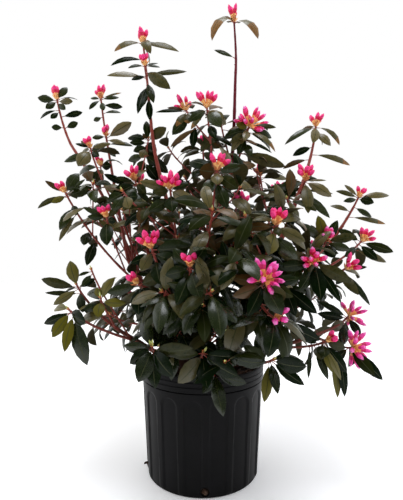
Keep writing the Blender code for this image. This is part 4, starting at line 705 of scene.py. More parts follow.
class Stem:
    """A tapering bent stem: its middle line and its radius along it."""

    def __init__(self, path, foot_radius, tip_radius):
        self.path = path
        self.lengths = [0.0]
        for a, b in zip(path, path[1:]):
            self.lengths.append(self.lengths[-1] + (b - a).length)
        self.total = self.lengths[-1]
        self.radii = [foot_radius + (tip_radius - foot_radius) * s / self.total for s in self.lengths]
        self.tangents = tangents_of(path)

    def at(self, s):
        """Point, direction and radius at a length s from the foot."""
        s = min(max(s, 0.0), self.total)
        k = next((j for j, far in enumerate(self.lengths) if j and s <= far + 1e-9), len(self.path) - 1)
        f = (s - self.lengths[k - 1]) / (self.lengths[k] - self.lengths[k - 1])
        point = self.path[k - 1].lerp(self.path[k], f)
        tangent = self.tangents[k - 1].lerp(self.tangents[k], f).normalized()
        return point, tangent, self.radii[k - 1] + (self.radii[k] - self.radii[k - 1]) * f

    def socket(self, share, toward):
        """Inside the stem, on the side that looks toward the point; with the way out and the way along."""
        point, tangent, radius = self.at(self.total * share)
        if share == 1.0:
            return point - tangent * radius, tangent, tangent
        way = across_to(toward - point, tangent)
        return point + way * radius * 0.3, way, tangent


class Shoot:
    """One leafy shoot of a mass, and what its end carries."""

    def __init__(self, mass, number, stem, buds, rank, index, habit):
        self.mass = mass
        self.number = number
        self.stem = stem
        self.buds = buds
        self.rank = rank            # leader, head, twig, fine or fan
        self.seed = index * 10 + number
        self.size, self.droop, self.tint = habit

    def listed(self, table):
        return self.number in table.get(self.mass, ())


def leader_path(start, normal, along, tip, rng):
    """From a foot on a limb, out and up to the tip, with a little wander."""
    chord = tip - start
    length = chord.length
    out = (normal * 0.8 + along * 0.9 + chord.normalized() * 0.8).normalized()
    end = (chord.normalized() + UP * 0.5).normalized()
    wander = Vector((rng.uniform(-1, 1), rng.uniform(-1, 1), rng.uniform(-0.4, 0.4))) * LEADER_WANDER
    return bezier(start, start + out * length * 0.30 + wander, tip - end * length * 0.32 + wander, tip, 14)


def side_twig(leader, target):
    """A twig from the leader to the target, leaving it as nearly as it can at the fork angle."""
    forks = []
    for k in range(2, 19):
        point, tangent, radius = leader.at(leader.total * k / 20)
        forks.append((abs(tangent.angle(target - point) - FORK), k, point, radius))
    point, radius = min(forks, key=lambda fork: fork[:2])[2:]
    chord = target - point
    end = (chord.normalized() + UP * 0.5).normalized()
    path = bezier(point, point + chord * 0.33, target - end * chord.length * 0.3, target, 9)
    return Stem(path, radius * TWIG_FOOT_SHARE, min(radius * TWIG_FOOT_SHARE, TWIG_TIP))


def clear_of_pot(point, margin=0.0):
    """True above the rim's plane, or well outside the pot."""
    return (point.z > POT_HEIGHT + POT_STAND + margin
            or math.hypot(point.x, point.y) > POT_RADIUS + POT_STAND)


def in_box(points, stand=0.0):
    """True when every point keeps to the frame's box, but for a small stand."""
    low, high = CAD_BOX
    return all(low[i] - stand <= p[i] <= high[i] + stand for p in points for i in range(3))


def grown_limbs():
    """The stems that leave the soil and the boughs that go on from them."""
    limbs = {}
    for name, parent, place, points, foot, tip in LIMBS:
        points = [Vector(p) for p in points]
        if parent is None:
            start = Vector((*place, SOIL_TOP))
            path = [start - UP * 0.012] + through([start] + points, 24)
        else:
            start, normal, along = limbs[parent].socket(place, points[0])
            first = start + (normal * 0.5 + along).normalized() * 0.030
            path = through([start, first] + points, 18)
        limbs[name] = Stem(path, foot, tip)
    return limbs


def twigs_by_chance(leader, rng, rank, wanted):
    """Up to the wanted number of twigs, at random places and turns, clear of the pot and in the box."""
    low, high, short, long = TWIG_RANGE[rank]
    made = []
    for _ in range(wanted * 12):
        if len(made) == wanted:
            break
        point, tangent, _ = leader.at(leader.total * rng.uniform(low, high))
        radial = out_of(tangent, rng.uniform(0, 2 * math.pi))
        way = (tangent * 0.55 + radial + UP * 0.25).normalized()
        target = point + way * rng.uniform(short, long)
        if clear_of_pot(target, 0.03) and in_box([target], -0.03):
            made.append(side_twig(leader, target))
    return made


def fan_stems(stem):
    """Thin bare shoots that leave the end of the left stem side by side."""
    rng = random.Random(81)
    for share, tip in FAN:
        start, _, along = stem.socket(share, Vector(tip))
        chord = Vector(tip) - start
        bend = along * 0.006 + Vector((rng.uniform(-0.003, 0.003), 0.0, 0.0))
        yield Stem(bezier(start, start + chord * 0.33 + bend, start + chord * 0.67 + bend, start + chord, 8),
                   *FAN_RADII)


@functools.lru_cache(maxsize=None)
def grown():
    """The limbs, and every shoot that grows from them."""
    limbs = grown_limbs()
    shoots = []
    for index, (name, limb, share, heads, extra, fine, *habit) in enumerate(MASSES):
        target = Vector(heads[0][:3])
        start, normal, along = limbs[limb].socket(share, target)
        foot = LEADER_FOOT if share < 1.0 else limbs[limb].radii[-1]
        path = leader_path(start, normal, along, target, random.Random(1000 + index))
        leader = Stem(path, foot, LEADER_TIP)
        own = [(leader, heads[0][3], "leader")]
        own += [(side_twig(leader, Vector(head[:3])), head[3], "head") for head in heads[1:]]
        rng = random.Random(3000 + index)
        for rank, wanted in (("twig", extra), ("fine", fine)):
            own += [(twig, 0, rank) for twig in twigs_by_chance(leader, rng, rank, wanted)]
        if name == "left_outer":
            own += [(stem, 0, "fan") for stem in fan_stems(limbs["left_stem"])]
        shoots += [Shoot(name, number, *grew, index, habit) for number, grew in enumerate(own)]
    return limbs, [shoot for shoot in shoots if not shoot.listed(PRUNED)]


# ---------------------------------------------------------------- leaves
WHORL = 6                                   # leaves round a shoot's tip
LEAVES = {"leader": WHORL + 8, "head": WHORL + 4, "twig": WHORL + 3, "fine": WHORL + 2, "fan": WHORL - 3}
FRONT = Vector((0.0, -1.0, -0.3))           # the way a leaf turns its face to be seen
STATIONS = (0.0, 0.10, 0.28, 0.50, 0.72, 0.90, 1.0)     # along a blade, root to tip
ACROSS = (-1.0, -0.52, -0.055, 0.055, 0.52, 1.0)          # over its upper side, edge to edge
BLADE_SLOTS = ("dark", "green", "bronze", "olive", "tan", "rib", "underside", "tan_underside")
BLADE_PARTS = ("top", "top", "mid", "tip", "tip", "tip")        # of the upper side, root to tip
SMALL = 0.7                                 # under this leaf factor the leaves are small and blunt
BOX_STAND = 0.030                           # how far a leaf may stand out of the frame's box
# How far leaves set by rule may hang below the pot's rim: within this reach of its middle, and further out
INNER_REACH, INNER_HANG, OUTER_HANG = 0.20, 0.002, 0.050


def leaf_width(u, fullness):
    """Half width of a blade at u, as a share of its greatest half width."""
    return math.sin(math.pi * u ** fullness) ** 0.78


def blade(root, way, up, length, width, bend, thick, fullness, fold, twist):
    """A closed leaf blade on an arc whose chord is the given way: grooved along its rib, its edges turned
    down.  Returns its points, its faces and the part of the leaf that each face is."""
    side = way.cross(up).normalized()
    up = side.cross(way).normalized()
    bend = max(bend, 0.02)
    arc = length * (bend / 2) / math.sin(bend / 2)
    radius = arc / bend
    rings = []
    for u in STATIONS:
        angle = bend * (0.5 - u)
        along = radius * (math.sin(bend / 2) - math.sin(angle))
        lift = radius * (math.cos(angle) - math.cos(bend / 2))
        centre = root + way * along + up * lift
        ahead = way * math.cos(angle) + up * math.sin(angle)
        over = side.cross(ahead).normalized()
        turn = Matrix.Rotation(twist * (u - 0.3), 3, ahead)
        across, above = turn @ side, turn @ over
        half = width / 2 * leaf_width(u, fullness) if 0.0 < u < 1.0 else 0.0
        rings.append((centre, across, above, half))
    verts = [rings[0][0]]
    for centre, across, above, half in rings[1:-1]:
        for v in ACROSS:
            arch = fold * half * (1.0 - 2.2 * abs(v) ** 2) if abs(v) > 0.2 else fold * half * 0.55
            verts.append(centre + across * half * v + above * arch)
        verts.append(centre - above * (thick - fold * half * 0.2))
    verts.append(rings[-1][0])
    faces, parts = [], []
    tip = len(verts) - 1
    per = len(ACROSS) + 1
    for k in range(len(rings) - 2):
        a = 1 + k * per
        b = a + per
        for i in range(len(ACROSS) - 1):
            part = "rib" if i == 2 else BLADE_PARTS[k]
            if k == 0:
                faces.append((0, a + i, a + i + 1))
                parts.append(part)
            if k == len(rings) - 3:
                faces.append((tip, a + i + 1, a + i))
                parts.append(part if part == "rib" else "tip")
            else:
                faces.append((a + i, b + i, b + i + 1, a + i + 1))
                parts.append(part)
        left, right, under = a, a + len(ACROSS) - 1, a + len(ACROSS)
        if k == 0:
            faces += [(0, under, left), (0, right, under)]
            parts += ["under"] * 2
        if k == len(rings) - 3:
            faces += [(tip, left, under), (tip, under, right)]
            parts += ["under_tip"] * 2
        else:
            faces += [(left, under, under + per, left + per), (under, right, right + per, under + per)]
            parts += ["under" if k < len(rings) - 4 else "under_tip"] * 2
    return verts, faces, parts


def set_leaf_places(shoot):
    """The listed leaves round a shoot's end."""
    tip = shoot.stem.path[-1]
    for i, (back, offset, width, bend, tint, face) in enumerate(SET_LEAVES[shoot.mass, shoot.number]):
        root, _, radius = shoot.stem.at(max(shoot.stem.total - back / 1000.0, shoot.stem.total * 0.1))
        chord = tip + Vector(offset) / 1000.0 - root
        way = chord.normalized()
        up = (across_to(UP, way) * (1.0 - face) + across_to(FRONT, way) * face).normalized()
        rng = random.Random(shoot.seed * 977 + 500 + i)
        yield {"root": root, "way": way, "up": up, "length": chord.length, "width": width / 1000.0,
               "bend": math.radians(bend), "fold": rng.uniform(0.06, 0.16), "twist": rng.uniform(-0.3, 0.3),
               "fullness": 1.2 if shoot.size < SMALL or tint in ("tan", "gold") else 1.02,
               "tint": tint, "radius": radius, "by_hand": True}


def leaf_places(shoot, leaf_length, leaf_share):
    """The leaves of a shoot, tip first: a close whorl, then wider spaced ones, in one spiral."""
    stem = shoot.stem
    small = shoot.size < SMALL
    by_hand = (shoot.mass, shoot.number) in SET_LEAVES
    if by_hand:
        yield from set_leaf_places(shoot)
    for i in range(LEAVES[shoot.rank]):
        rng = random.Random(shoot.seed * 977 + i)
        back = 0.003 + 0.0032 * i if i < WHORL else 0.022 + 0.016 * (i - WHORL + 1)
        if back > stem.total * 0.85:
            break
        point, tangent, radius = stem.at(stem.total - back)
        radial = out_of(tangent, shoot.seed * 0.7 + GOLDEN * i + rng.uniform(-0.25, 0.25)).normalized()
        lean = math.radians(min(52 + 7 * i, 92) + rng.uniform(-9, 9))
        way = (tangent * math.cos(lean) + radial * math.sin(lean)).normalized()
        way = (way - UP * shoot.droop * rng.uniform(0.7, 1.3) * math.hypot(way.x, way.y)).normalized()
        if by_hand and (way.y < 0.45 or shoot.listed(SPARE)):
            continue                # where leaves are listed, the rule only fills the back
        outward = Vector((point.x * 0.6, point.y - 0.12, 0.0)).normalized()
        up = across_to(UP * 0.55 + radial * 0.3 + outward * 0.55, way)
        up = Matrix.Rotation(rng.uniform(-0.35, 0.35), 3, way) @ up
        length = leaf_length * shoot.size * rng.uniform(0.82, 1.18)
        yield {"root": point, "way": way, "up": up, "length": length,
               "width": length * (0.52 if small else leaf_share) * rng.uniform(0.9, 1.1),
               "bend": math.radians(rng.uniform(40, 95)), "fold": rng.uniform(0.05, 0.16),
               "twist": rng.uniform(-0.5, 0.5), "fullness": 1.25 if small else rng.uniform(0.92, 1.12),
               "tint": pick_tint(shoot, rng), "radius": radius, "by_hand": False}


def pick_tint(shoot, rng):
    """Mostly the shoot's own tint, now and then its neighbour's."""
    near = {"dark": ("dark", "dark", "green"), "green": ("green", "green", "dark", "green", "dark", "bronze"),
            "bronze": ("bronze", "green", "dark", "bronze"), "olive": ("olive", "olive", "green", "dark")}
    return rng.choice(near[shoot.tint])


def has_room(place, verts):
    """True when a leaf keeps near the frame's box and off the pot, and hangs no lower than its kind may."""
    if not in_box(verts, BOX_STAND) or not all(clear_of_pot(v) for v in verts[1::3]):
        return False
    hang = INNER_HANG if abs(place["root"].x) < INNER_REACH else OUTER_HANG
    return place["by_hand"] or min(v.z for v in verts) >= POT_HEIGHT - hang


def stalked_leaf(leaves, stalks, place, thick):
    """One leaf, where it has room: a short stalk from the shoot's skin, and the blade on its arc."""
    root, way, up = place["root"], place["way"], place["up"]
    bend, length, tint = place["bend"], place["length"], place["tint"]
    stalk = 0.11 * length
    leaving = (way * math.cos(bend / 2) + up * math.sin(bend / 2)).normalized()
    base = root + leaving * (place["radius"] + stalk)
    verts, faces, parts = blade(base, way, up, length - stalk, place["width"], bend, thick,
                                place["fullness"], place["fold"], place["twist"])
    if not has_room(place, verts):
        return
    names = {"top": tint, "mid": tint, "tip": tint, "rib": "rib", "under": "underside",
             "under_tip": "underside"}
    if tint in ("tan", "gold"):
        names.update(top="green", mid="tan" if tint == "gold" else "green", tip="tan",
                     under="tan_underside", under_tip="tan_underside")
    leaves.add(verts, faces, [BLADE_SLOTS.index(names[part]) for part in parts])
    rod(stalks, [root, root + leaving * (place["radius"] + stalk * 0.55), base + leaving * 0.001],
        [0.0013, 0.0010, 0.0009], 4, 0)


# ---------------------------------------------------------------- round rods
def rod(heap, path, radii, sides, slot):
    """A tapering rod over its path, closed at both ends."""
    tangents = tangents_of(path)
    u = tangents[0].orthogonal().normalized()
    verts = []
    for point, axis, radius in zip(path, tangents, radii):
        u = across_to(u, axis)
        v = axis.cross(u)
        verts += [point + between(u, v, 2 * math.pi * i / sides) * radius for i in range(sides)]
    faces = [tuple(reversed(range(sides)))]
    for k in range(len(path) - 1):
        a, b = k * sides, (k + 1) * sides
        faces += [(a + i, a + (i + 1) % sides, b + (i + 1) % sides, b + i) for i in range(sides)]
    faces.append(tuple(range(len(verts) - sides, len(verts))))
    heap.add(verts, faces, slot)


# ---------------------------------------------------------------- buds
FLORET_RINGS = ((0.06, 0.46), (0.36, 0.76), (0.62, 1.0), (0.85, 0.70))     # along, radius share
FLORET_SIDES = 10                           # five petals and the five furrows between them
BIG_HEAD = 5                                # flowers in a head that has opened out
# Heads unlike the rest: share of the full length, of the full width, of the usual spread, and how they lean
HEAD_HABIT = {
    "front_big": (1.0, 0.95, 1.0, (0.0, 0.0, 0.1)), "low_right_out": (1.06, 0.90, 1.2, (0.5, -0.4, -0.1)),
    "top_right": (0.98, 0.95, 1.15, (0.2, -0.1, 0.2)), "far_left": (1.0, 1.05, 0.7, (0.0, 0.0, 0.3)),
    "top_pair": (0.95, 1.0, 0.9, (0.0, 0.0, 0.2)), "spire": (1.08, 1.0, 0.8, (0.0, 0.0, 0.3))}
# Petal colours of a flower, foot to tip, by their place among the petal materials
PLAIN_PETALS = (0, 0, 1, 2, 2)
PALE_TIPPED = (0, 0, 1, 2, 3)
BLUER_PETALS = (0, 0, 4, 5, 3)
HEAD_PETALS = {"front_big": BLUER_PETALS, "low_right_out": BLUER_PETALS, "top_right": PALE_TIPPED,
               "right_mid": PALE_TIPPED}
SPEARED = ("low_front", "low_left_front", "low_left_high", "inner_left")        # already in new growth


def floret(heap, base, way, length, width, rng, slots):
    """One closed flower: five petals furled into a spindle, furrowed between them and turned a little."""
    u = out_of(way, any_turn(rng))
    v = way.cross(u)
    twist = rng.uniform(0.3, 0.6)
    lean = (u * rng.uniform(-1, 1) + v * rng.uniform(-1, 1)) * 0.10 * length
    verts = [base]
    for share, radius in FLORET_RINGS:
        centre = base + way * length * share + lean * share * share
        for i in range(FLORET_SIDES):
            furrow = 1.0 if i % 2 == 0 else 0.74
            out = between(u, v, 2 * math.pi * i / FLORET_SIDES + twist * share)
            verts.append(centre + out * width / 2 * radius * furrow)
    verts.append(base + way * length + lean)
    faces, shades = [], []
    last = len(verts) - 1
    for i in range(FLORET_SIDES):
        j = (i + 1) % FLORET_SIDES
        faces.append((0, 1 + j, 1 + i))
        for k in range(len(FLORET_RINGS) - 1):
            a = 1 + k * FLORET_SIDES
            b = a + FLORET_SIDES
            faces.append((a + i, a + j, b + j, b + i))
        faces.append((last - FLORET_SIDES + i, last - FLORET_SIDES + j, last))
        shades += slots
    heap.add(verts, faces, shades)


def scale_leaf(heap, base, way, up, length, width, slot):
    """A small pointed scale: a closed boat of eight faces."""
    side = way.cross(up).normalized()
    up = side.cross(way).normalized()
    verts = [base]
    for share, half, rise in ((0.35, 0.5, 0.12), (0.7, 0.36, 0.10)):
        middle = base + way * length * share
        verts += [middle + side * width * half, middle + up * length * rise, middle - side * width * half,
                  middle + up * (length * rise - width * 0.30)]
    verts.append(base + way * length)
    faces = []
    for i in range(4):
        j = (i + 1) % 4
        faces += [(0, 1 + i, 1 + j), (1 + i, 5 + i, 5 + j, 1 + j), (9, 5 + j, 5 + i)]
    heap.add(verts, [tuple(reversed(f)) for f in faces], slot)


def shoot_end(shoot):
    """Tip and outward axis of a shoot."""
    tip, tangent, _ = shoot.stem.at(shoot.stem.total)
    return tip, tangent


def flower_head(petals, scales, shoot, bud_length, bud_width):
    """A cluster of closed flowers on short stalks, with the bud's scales still round its foot."""
    rng = random.Random(shoot.seed * 31 + 7)
    tip, axis = shoot_end(shoot)
    count = shoot.buds
    big = count >= BIG_HEAD
    usual = (0.86 if count > 3 else 0.68, 1.0, 0.88, (0.0, 0.0, 0.18))
    grown_share, narrow, spread, lean = HEAD_HABIT.get(shoot.mass, usual)
    axis = (axis + Vector(lean)).normalized()
    u = out_of(axis, any_turn(rng))
    v = axis.cross(u)
    reach = math.radians(min(26 + 5 * count, 84) * spread)
    for i in range(count):
        tilt = reach * math.sqrt((i + 0.35) / count) if count > 1 else 0.15
        out = between(u, v, GOLDEN * i + rng.uniform(-0.3, 0.3))
        way = between(axis, out, tilt).normalized()
        length = bud_length * grown_share * rng.uniform(0.86, 1.10)
        width = bud_width * narrow * rng.uniform(0.88, 1.12)
        stalk = 0.007 if big else 0.004
        if shoot.mass == "top_right" and i < 7:
            stalk = 0.015
        base = tip + way * stalk
        rod(scales, [tip - way * 0.001, tip + way * stalk * 0.6, base + way * 0.002],
            [0.0016, 0.0015, 0.0022], 5, 0)
        floret(petals, base, way, length, width, rng, HEAD_PETALS.get(shoot.mass, PLAIN_PETALS))
    for i in range(8 if big else 5):
        out = between(u, v, GOLDEN * i)
        way = (axis * 0.8 + out * rng.uniform(0.5, 0.9)).normalized()
        scale_leaf(scales, tip - axis * 0.003, way, out, rng.uniform(0.012, 0.019), 0.0085,
                   rng.choice((0, 0, 1)))


def leafy_head(scales, growth, shoot):
    """A resting bud with no flowers: either a fat scaled bud or slim spears of new leaves."""
    rng = random.Random(shoot.seed * 31 + 7)
    tip, axis = shoot_end(shoot)
    u = axis.orthogonal().normalized()
    v = axis.cross(u)
    spears = shoot.mass in SPEARED
    for i in range(5):
        out = between(u, v, GOLDEN * i)
        scale_leaf(scales, tip - axis * 0.002, (axis + out * 0.45).normalized(), out, 0.009, 0.005, 1)
    for i in range(3 if spears else 1):
        out = between(u, v, any_turn(rng) + 2.1 * i)
        way = (axis + out * (0.45 if spears else 0.05) + UP * 0.2).normalized()
        scale_leaf(growth, tip, way, out, rng.uniform(0.014, 0.021) if spears else 0.012, 0.0046, 0)


# ---------------------------------------------------------------- settings
def length_setting(name, description, default):
    return FloatProperty(name=name, description=description, default=default, unit="LENGTH")


def colour_setting(name, description, code):
    return FloatVectorProperty(name=name, description=description, default=linear(code), subtype="COLOR",
                               size=3, min=0.0, max=1.0)


class PotSizes(bpy.types.PropertyGroup):
    height: length_setting("Height", "Underside to the top of the rim", POT_HEIGHT)
    radius: length_setting("Rim radius", "Outside of the rim", POT_RADIUS)
    wall_radius: length_setting("Wall radius", "Wall just under the rim band", 0.1478)
    base_radius: length_setting("Base radius", "Wall at the base", 0.1362)
    band: length_setting("Band", "Height of the stepped band's lower line", 0.231)
    wall: length_setting("Wall", "Thickness of the wall", 0.0024)
    flutes: IntProperty(name="Flutes", description="Flutes round the wall", default=16, min=6)
    flute_depth: length_setting("Flute depth", "Depth of a flute", 0.0026)
    flute_top: length_setting("Flute top", "Height of the flutes' round heads", 0.216)
    flute_turn: FloatProperty(name="Flute turn", description="First flute's middle, from the front",
                              default=math.radians(-8.5), subtype="ANGLE", unit="ROTATION")
    hole_radius: length_setting("Drain hole", "Radius of a drain hole", 0.0105)


class PlantSizes(bpy.types.PropertyGroup):
    leaf_length: length_setting("Leaf length", "Ordinary leaf, stalk to tip", 0.074)
    leaf_share: FloatProperty(name="Leaf width", description="Width of a leaf as a share of its length",
                              default=0.37, min=0.1, max=1.0)
    leaf_thickness: length_setting("Leaf thickness", "Thickness at the rib", 0.0009)
    bud_length: length_setting("Flower bud length", "A closed flower in a full head", 0.036)
    bud_width: length_setting("Flower bud width", "Its greatest width", 0.0122)


class Colours(bpy.types.PropertyGroup):
    pot_black: colour_setting("Pot", "Black of the moulded plastic", "#080808")
    pot_bloom: colour_setting("Pot bloom", "Where dust and wear have dulled the plastic", "#0F0E10")
    soil: colour_setting("Potting bark", "Damp bark mix", "#2E2219")
    chip: colour_setting("Bark chip", "Dry chip on the mix", "#5A4232")
    rind_red: colour_setting("Young rind", "Rind of this year's and last year's wood", "#8A3B30")
    rind_maroon: colour_setting("Spire rind", "Rind of the tall shoot", "#62081B")
    rind_brown: colour_setting("Old rind", "Rind near the soil", "#4A2D22")
    leaf_dark: colour_setting("Dark leaf", "Shaded, well-waxed leaves", "#0C1B06")
    leaf_green: colour_setting("Green leaf", "Ordinary leaves", "#242B0C")
    leaf_bronze: colour_setting("Bronzed leaf", "Sun-bronzed leaves", "#443012")
    leaf_fresh: colour_setting("Fresh leaf", "Lighter grey-green leaves", "#544B28")
    leaf_brown: colour_setting("Browned leaf", "Leaves browned by the sun", "#523A1A")
    leaf_olive: colour_setting("Olive leaf", "Pale, lit leaves", "#66611C")
    leaf_tan: colour_setting("Tan", "Golden-brown tips", "#785426")
    leaf_rib: colour_setting("Rib", "Pale middle rib", "#30341A")
    leaf_under: colour_setting("Leaf underside", "Dull scaly side", "#38341A")
    petal_foot: colour_setting("Petal foot", "Foot of the closed petals", "#FFB674")
    petal_deep: colour_setting("Deep petal", "Lower half of the petals", "#D3204A")
    petal_pink: colour_setting("Pink petal", "Upper half of the petals", "#F03A82")
    petal_pale: colour_setting("Pale petal", "Lit petal tips", "#FF7FC4")
    petal_plum: colour_setting("Plum petal", "Lower half of the bluer petals", "#D22C6C")
    petal_lilac: colour_setting("Lilac petal", "Upper half of the bluer petals", "#F04AA6")
    scale_apricot: colour_setting("Bud scale", "Fresh scales", "#FFB470")
    scale_brown: colour_setting("Dry scale", "Drying scales", "#C87846")
    growth: colour_setting("New growth", "Spears of new leaves", "#C6CB78")
    floor: colour_setting("Floor", "Studio floor", "#FFFFFF")


class StageSizes(bpy.types.PropertyGroup):
    camera_back: length_setting("Camera distance", "In front of the plant's middle", 0.98)
    camera_height: length_setting("Camera height", "Above the floor", 0.52)
    lens: FloatProperty(name="Lens", description="Focal length", default=28.22, unit="CAMERA")
    side_light: FloatProperty(name="Side lights", description="Power of each big side light", default=13.0,
                              unit="POWER")
    top_light: FloatProperty(name="Top light", description="Power of the overhead light", default=40.0,
                             unit="POWER")


# ---------------------------------------------------------------- pieces
def ride(obj, slot, *nodes):
    """Every piece goes with the one body; some stand for nodes of the frame."""
    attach(obj, "root")
    if nodes:
        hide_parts(*nodes)


class MakesPiece:
    """What all the piece operators share."""
    bl_options = {"REGISTER", "UNDO"}


class RHODO_OT_pot(MakesPiece, bpy.types.Operator):
    """Turn the nursery pot, sink its flutes and drill its drain holes"""
    bl_idname = "rhodo.pot"
    bl_label = "Pot"

    def execute(self, context):
        pot, colours = context.scene.rhodo_pot, context.scene.rhodo_colours
        obj = turned("nursery_pot", pot_profile(pot), pot.flutes * 20)
        sink_flutes(obj, pot)
        drill_holes(obj, pot)
        smooth(obj, 40.0)
        obj.data.materials.clear()
        obj.data.materials.append(moulded_pot_plastic(colours))
        ride(obj, "pot", "pot")
        return {"FINISHED"}


def wall_radius(pot, z):
    """The outside of the plain wall at a height."""
    return pot.base_radius + (pot.wall_radius - pot.base_radius) * z / pot.band


def pot_profile(pot):
    """Radius and height, from the middle of the underside, up the outside, over the rim and down inside."""
    top, band, rim = pot.height, pot.band, pot.radius
    foot = [(pot.base_radius * 0.62, 0.0030), (pot.base_radius * 0.66, 0.0),
            (pot.base_radius - 0.0055, 0.0), (pot.base_radius - 0.0022, 0.0014), (pot.base_radius, 0.0048)]
    heights = [0.010 + 0.0148 * k for k in range(12)]
    heights += [0.1770 + 0.0022 * k for k in range(21)]
    wall = [(wall_radius(pot, z), z) for z in heights]
    neck = [(wall_radius(pot, band - 0.005), band - 0.0050), (wall_radius(pot, band - 0.005), band - 0.0030),
            (pot.wall_radius - 0.0024, band - 0.0018), (pot.wall_radius - 0.0026, band - 0.0004)]
    lip = [(rim - 0.0018, band), (rim - 0.0006, band + 0.0008), (rim - 0.0004, band + 0.0024),
           (rim - 0.0006, band + 0.0105), (rim - 0.0017, band + 0.0116), (rim - 0.0017, band + 0.0126),
           (rim - 0.0004, band + 0.0138), (rim - 0.0003, band + 0.0212), (rim - 0.0014, band + 0.0223),
           (rim - 0.0014, band + 0.0233), (rim, band + 0.0246), (rim, top - 0.0022),
           (rim - 0.0006, top - 0.0006), (rim - 0.0018, top), (rim - 0.0036, top),
           (rim - 0.0046, top - 0.0010)]
    inner = [(rim - 0.0050, band + 0.004), (pot.wall_radius - pot.flute_depth - pot.wall, band - 0.006)]
    inner += [(wall_radius(pot, z) - pot.flute_depth - pot.wall, z) for z in (0.150, 0.080, 0.030, 0.008)]
    inner += [(pot.base_radius - 0.012, 0.0042), (pot.base_radius * 0.5, 0.0042)]
    return foot + wall + neck + lip + inner


def sink_flutes(obj, pot):
    """Long panels with round heads, sunk along the wall's normals by a weighted displacement."""
    group = obj.vertex_groups.new(name="flutes")
    pitch = 2 * math.pi / pot.flutes
    half_width = 0.38 * pitch * (pot.base_radius + pot.wall_radius) / 2
    edge = 0.0034
    for vert in obj.data.vertices:
        x, y, z = vert.co
        r = math.hypot(x, y)
        if z > pot.flute_top + 0.003 or z < 0.0015 or r < wall_radius(pot, z) - 0.0040:
            continue
        angle = math.atan2(x, -y) - pot.flute_turn
        off = abs((angle + pitch / 2) % pitch - pitch / 2) * r
        above = max(0.0, z - (pot.flute_top - half_width))
        inside = half_width - math.hypot(off, above)
        share = min(1.0, max(0.0, inside / edge))
        weight = share * share * (3.0 - 2.0 * share)
        if weight > 0.0:
            group.add([vert.index], weight, "REPLACE")
    sink = obj.modifiers.new("sink", "DISPLACE")
    sink.direction = "NORMAL"
    sink.mid_level = 0.0
    sink.strength = -pot.flute_depth
    sink.vertex_group = "flutes"
    apply_modifiers(obj)
    obj.vertex_groups.clear()


def hole_turn(k):
    """Where the k-th of the four drain holes stands, counted round from the right."""
    return math.radians(-88.0 + 90.0 * k)


def drill_holes(obj, pot):
    """Four drain holes low in the wall."""
    for k in range(4):
        angle = hole_turn(k)
        deselect()
        bpy.ops.mesh.primitive_cylinder_add(
            vertices=20, radius=pot.hole_radius, depth=0.030, rotation=(0.0, math.radians(90.0), angle),
            location=(pot.base_radius * math.cos(angle), pot.base_radius * math.sin(angle), 0.0150))
        drill = bpy.context.object
        cut = obj.modifiers.new("drill", "BOOLEAN")
        cut.operation = "DIFFERENCE"
        cut.object = drill
        apply_modifiers(obj)
        bpy.data.objects.remove(drill, do_unlink=True)


CHIPS = 420                         # strewn over the mix
CHIP_LAYER = 0.002                  # the mix stays this far under the soil's top, for the chips on it
HOLE_CHIPS_REACH = 0.1335           # chips that show in the drain holes, from the pot's middle


class RHODO_OT_soil(MakesPiece, bpy.types.Operator):
    """Fill the pot with bark mix and strew chips over it"""
    bl_idname = "rhodo.soil"
    bl_label = "Potting bark"

    def execute(self, context):
        colours = context.scene.rhodo_colours
        top = SOIL_TOP - CHIP_LAYER
        profile = [(SOIL_RADIUS * 0.5, SOIL_FOOT + 0.001), (SOIL_RADIUS * 0.90, SOIL_FOOT + 0.001),
                   (SOIL_RADIUS - 0.001, top - 0.012), (SOIL_RADIUS - 0.004, top - 0.004)]
        profile += [(SOIL_RADIUS * (1.0 - k / 24.0) * 0.965, top) for k in range(24)]
        obj = turned("potting_bark", profile, 96)
        relief_by_clouds(obj, "clods", 0.014, 0.0060, 0.6)
        relief_by_clouds(obj, "crumbs", 0.004, 0.0030, 0.5)
        smooth(obj, 60.0)
        obj.data.materials.append(composted_bark("damp_bark_mix", colours.soil, 0.45, 5.0, 0.9, 1.8, 0.88))
        ride(obj, "soil", "soil")
        chips = Heap()
        rng = random.Random(77)
        for _ in range(CHIPS):
            reach = SOIL_RADIUS * 0.95 * math.sqrt(rng.random())
            turn = rng.uniform(0, 2 * math.pi)
            height = top + rng.uniform(0.0, 2 * CHIP_LAYER)
            chip(chips, Vector((reach * math.cos(turn), reach * math.sin(turn), height)), rng)
        for k, size in ((0, 1.0), (3, 1.15)):
            out = Vector((math.cos(hole_turn(k)), math.sin(hole_turn(k)), 0.0))
            for _ in range(4):
                reach = HOLE_CHIPS_REACH + rng.uniform(-0.003, 0.004)
                chip(chips, out * reach + UP * rng.uniform(0.008, 0.018), rng, size)
        browns = [composted_bark("bark_chip_%d" % k, shade(colours.chip, factor), 0.3, 4.0, 0.4, 1.2)
                  for k, factor in enumerate((0.45, 0.8, 1.25))]
        ride(chips.piece("bark_chips", browns, 25.0), "soil")
        return {"FINISHED"}


def relief_by_clouds(obj, name, grain, strength, level):
    """Real relief: the surface is pushed in and out by a cloud pattern of the given grain."""
    clouds = bpy.data.textures.new(name, "CLOUDS")
    clouds.noise_scale = grain
    push = obj.modifiers.new(name, "DISPLACE")
    push.texture = clouds
    push.texture_coords = "LOCAL"
    push.strength = strength
    push.mid_level = level
    apply_modifiers(obj)


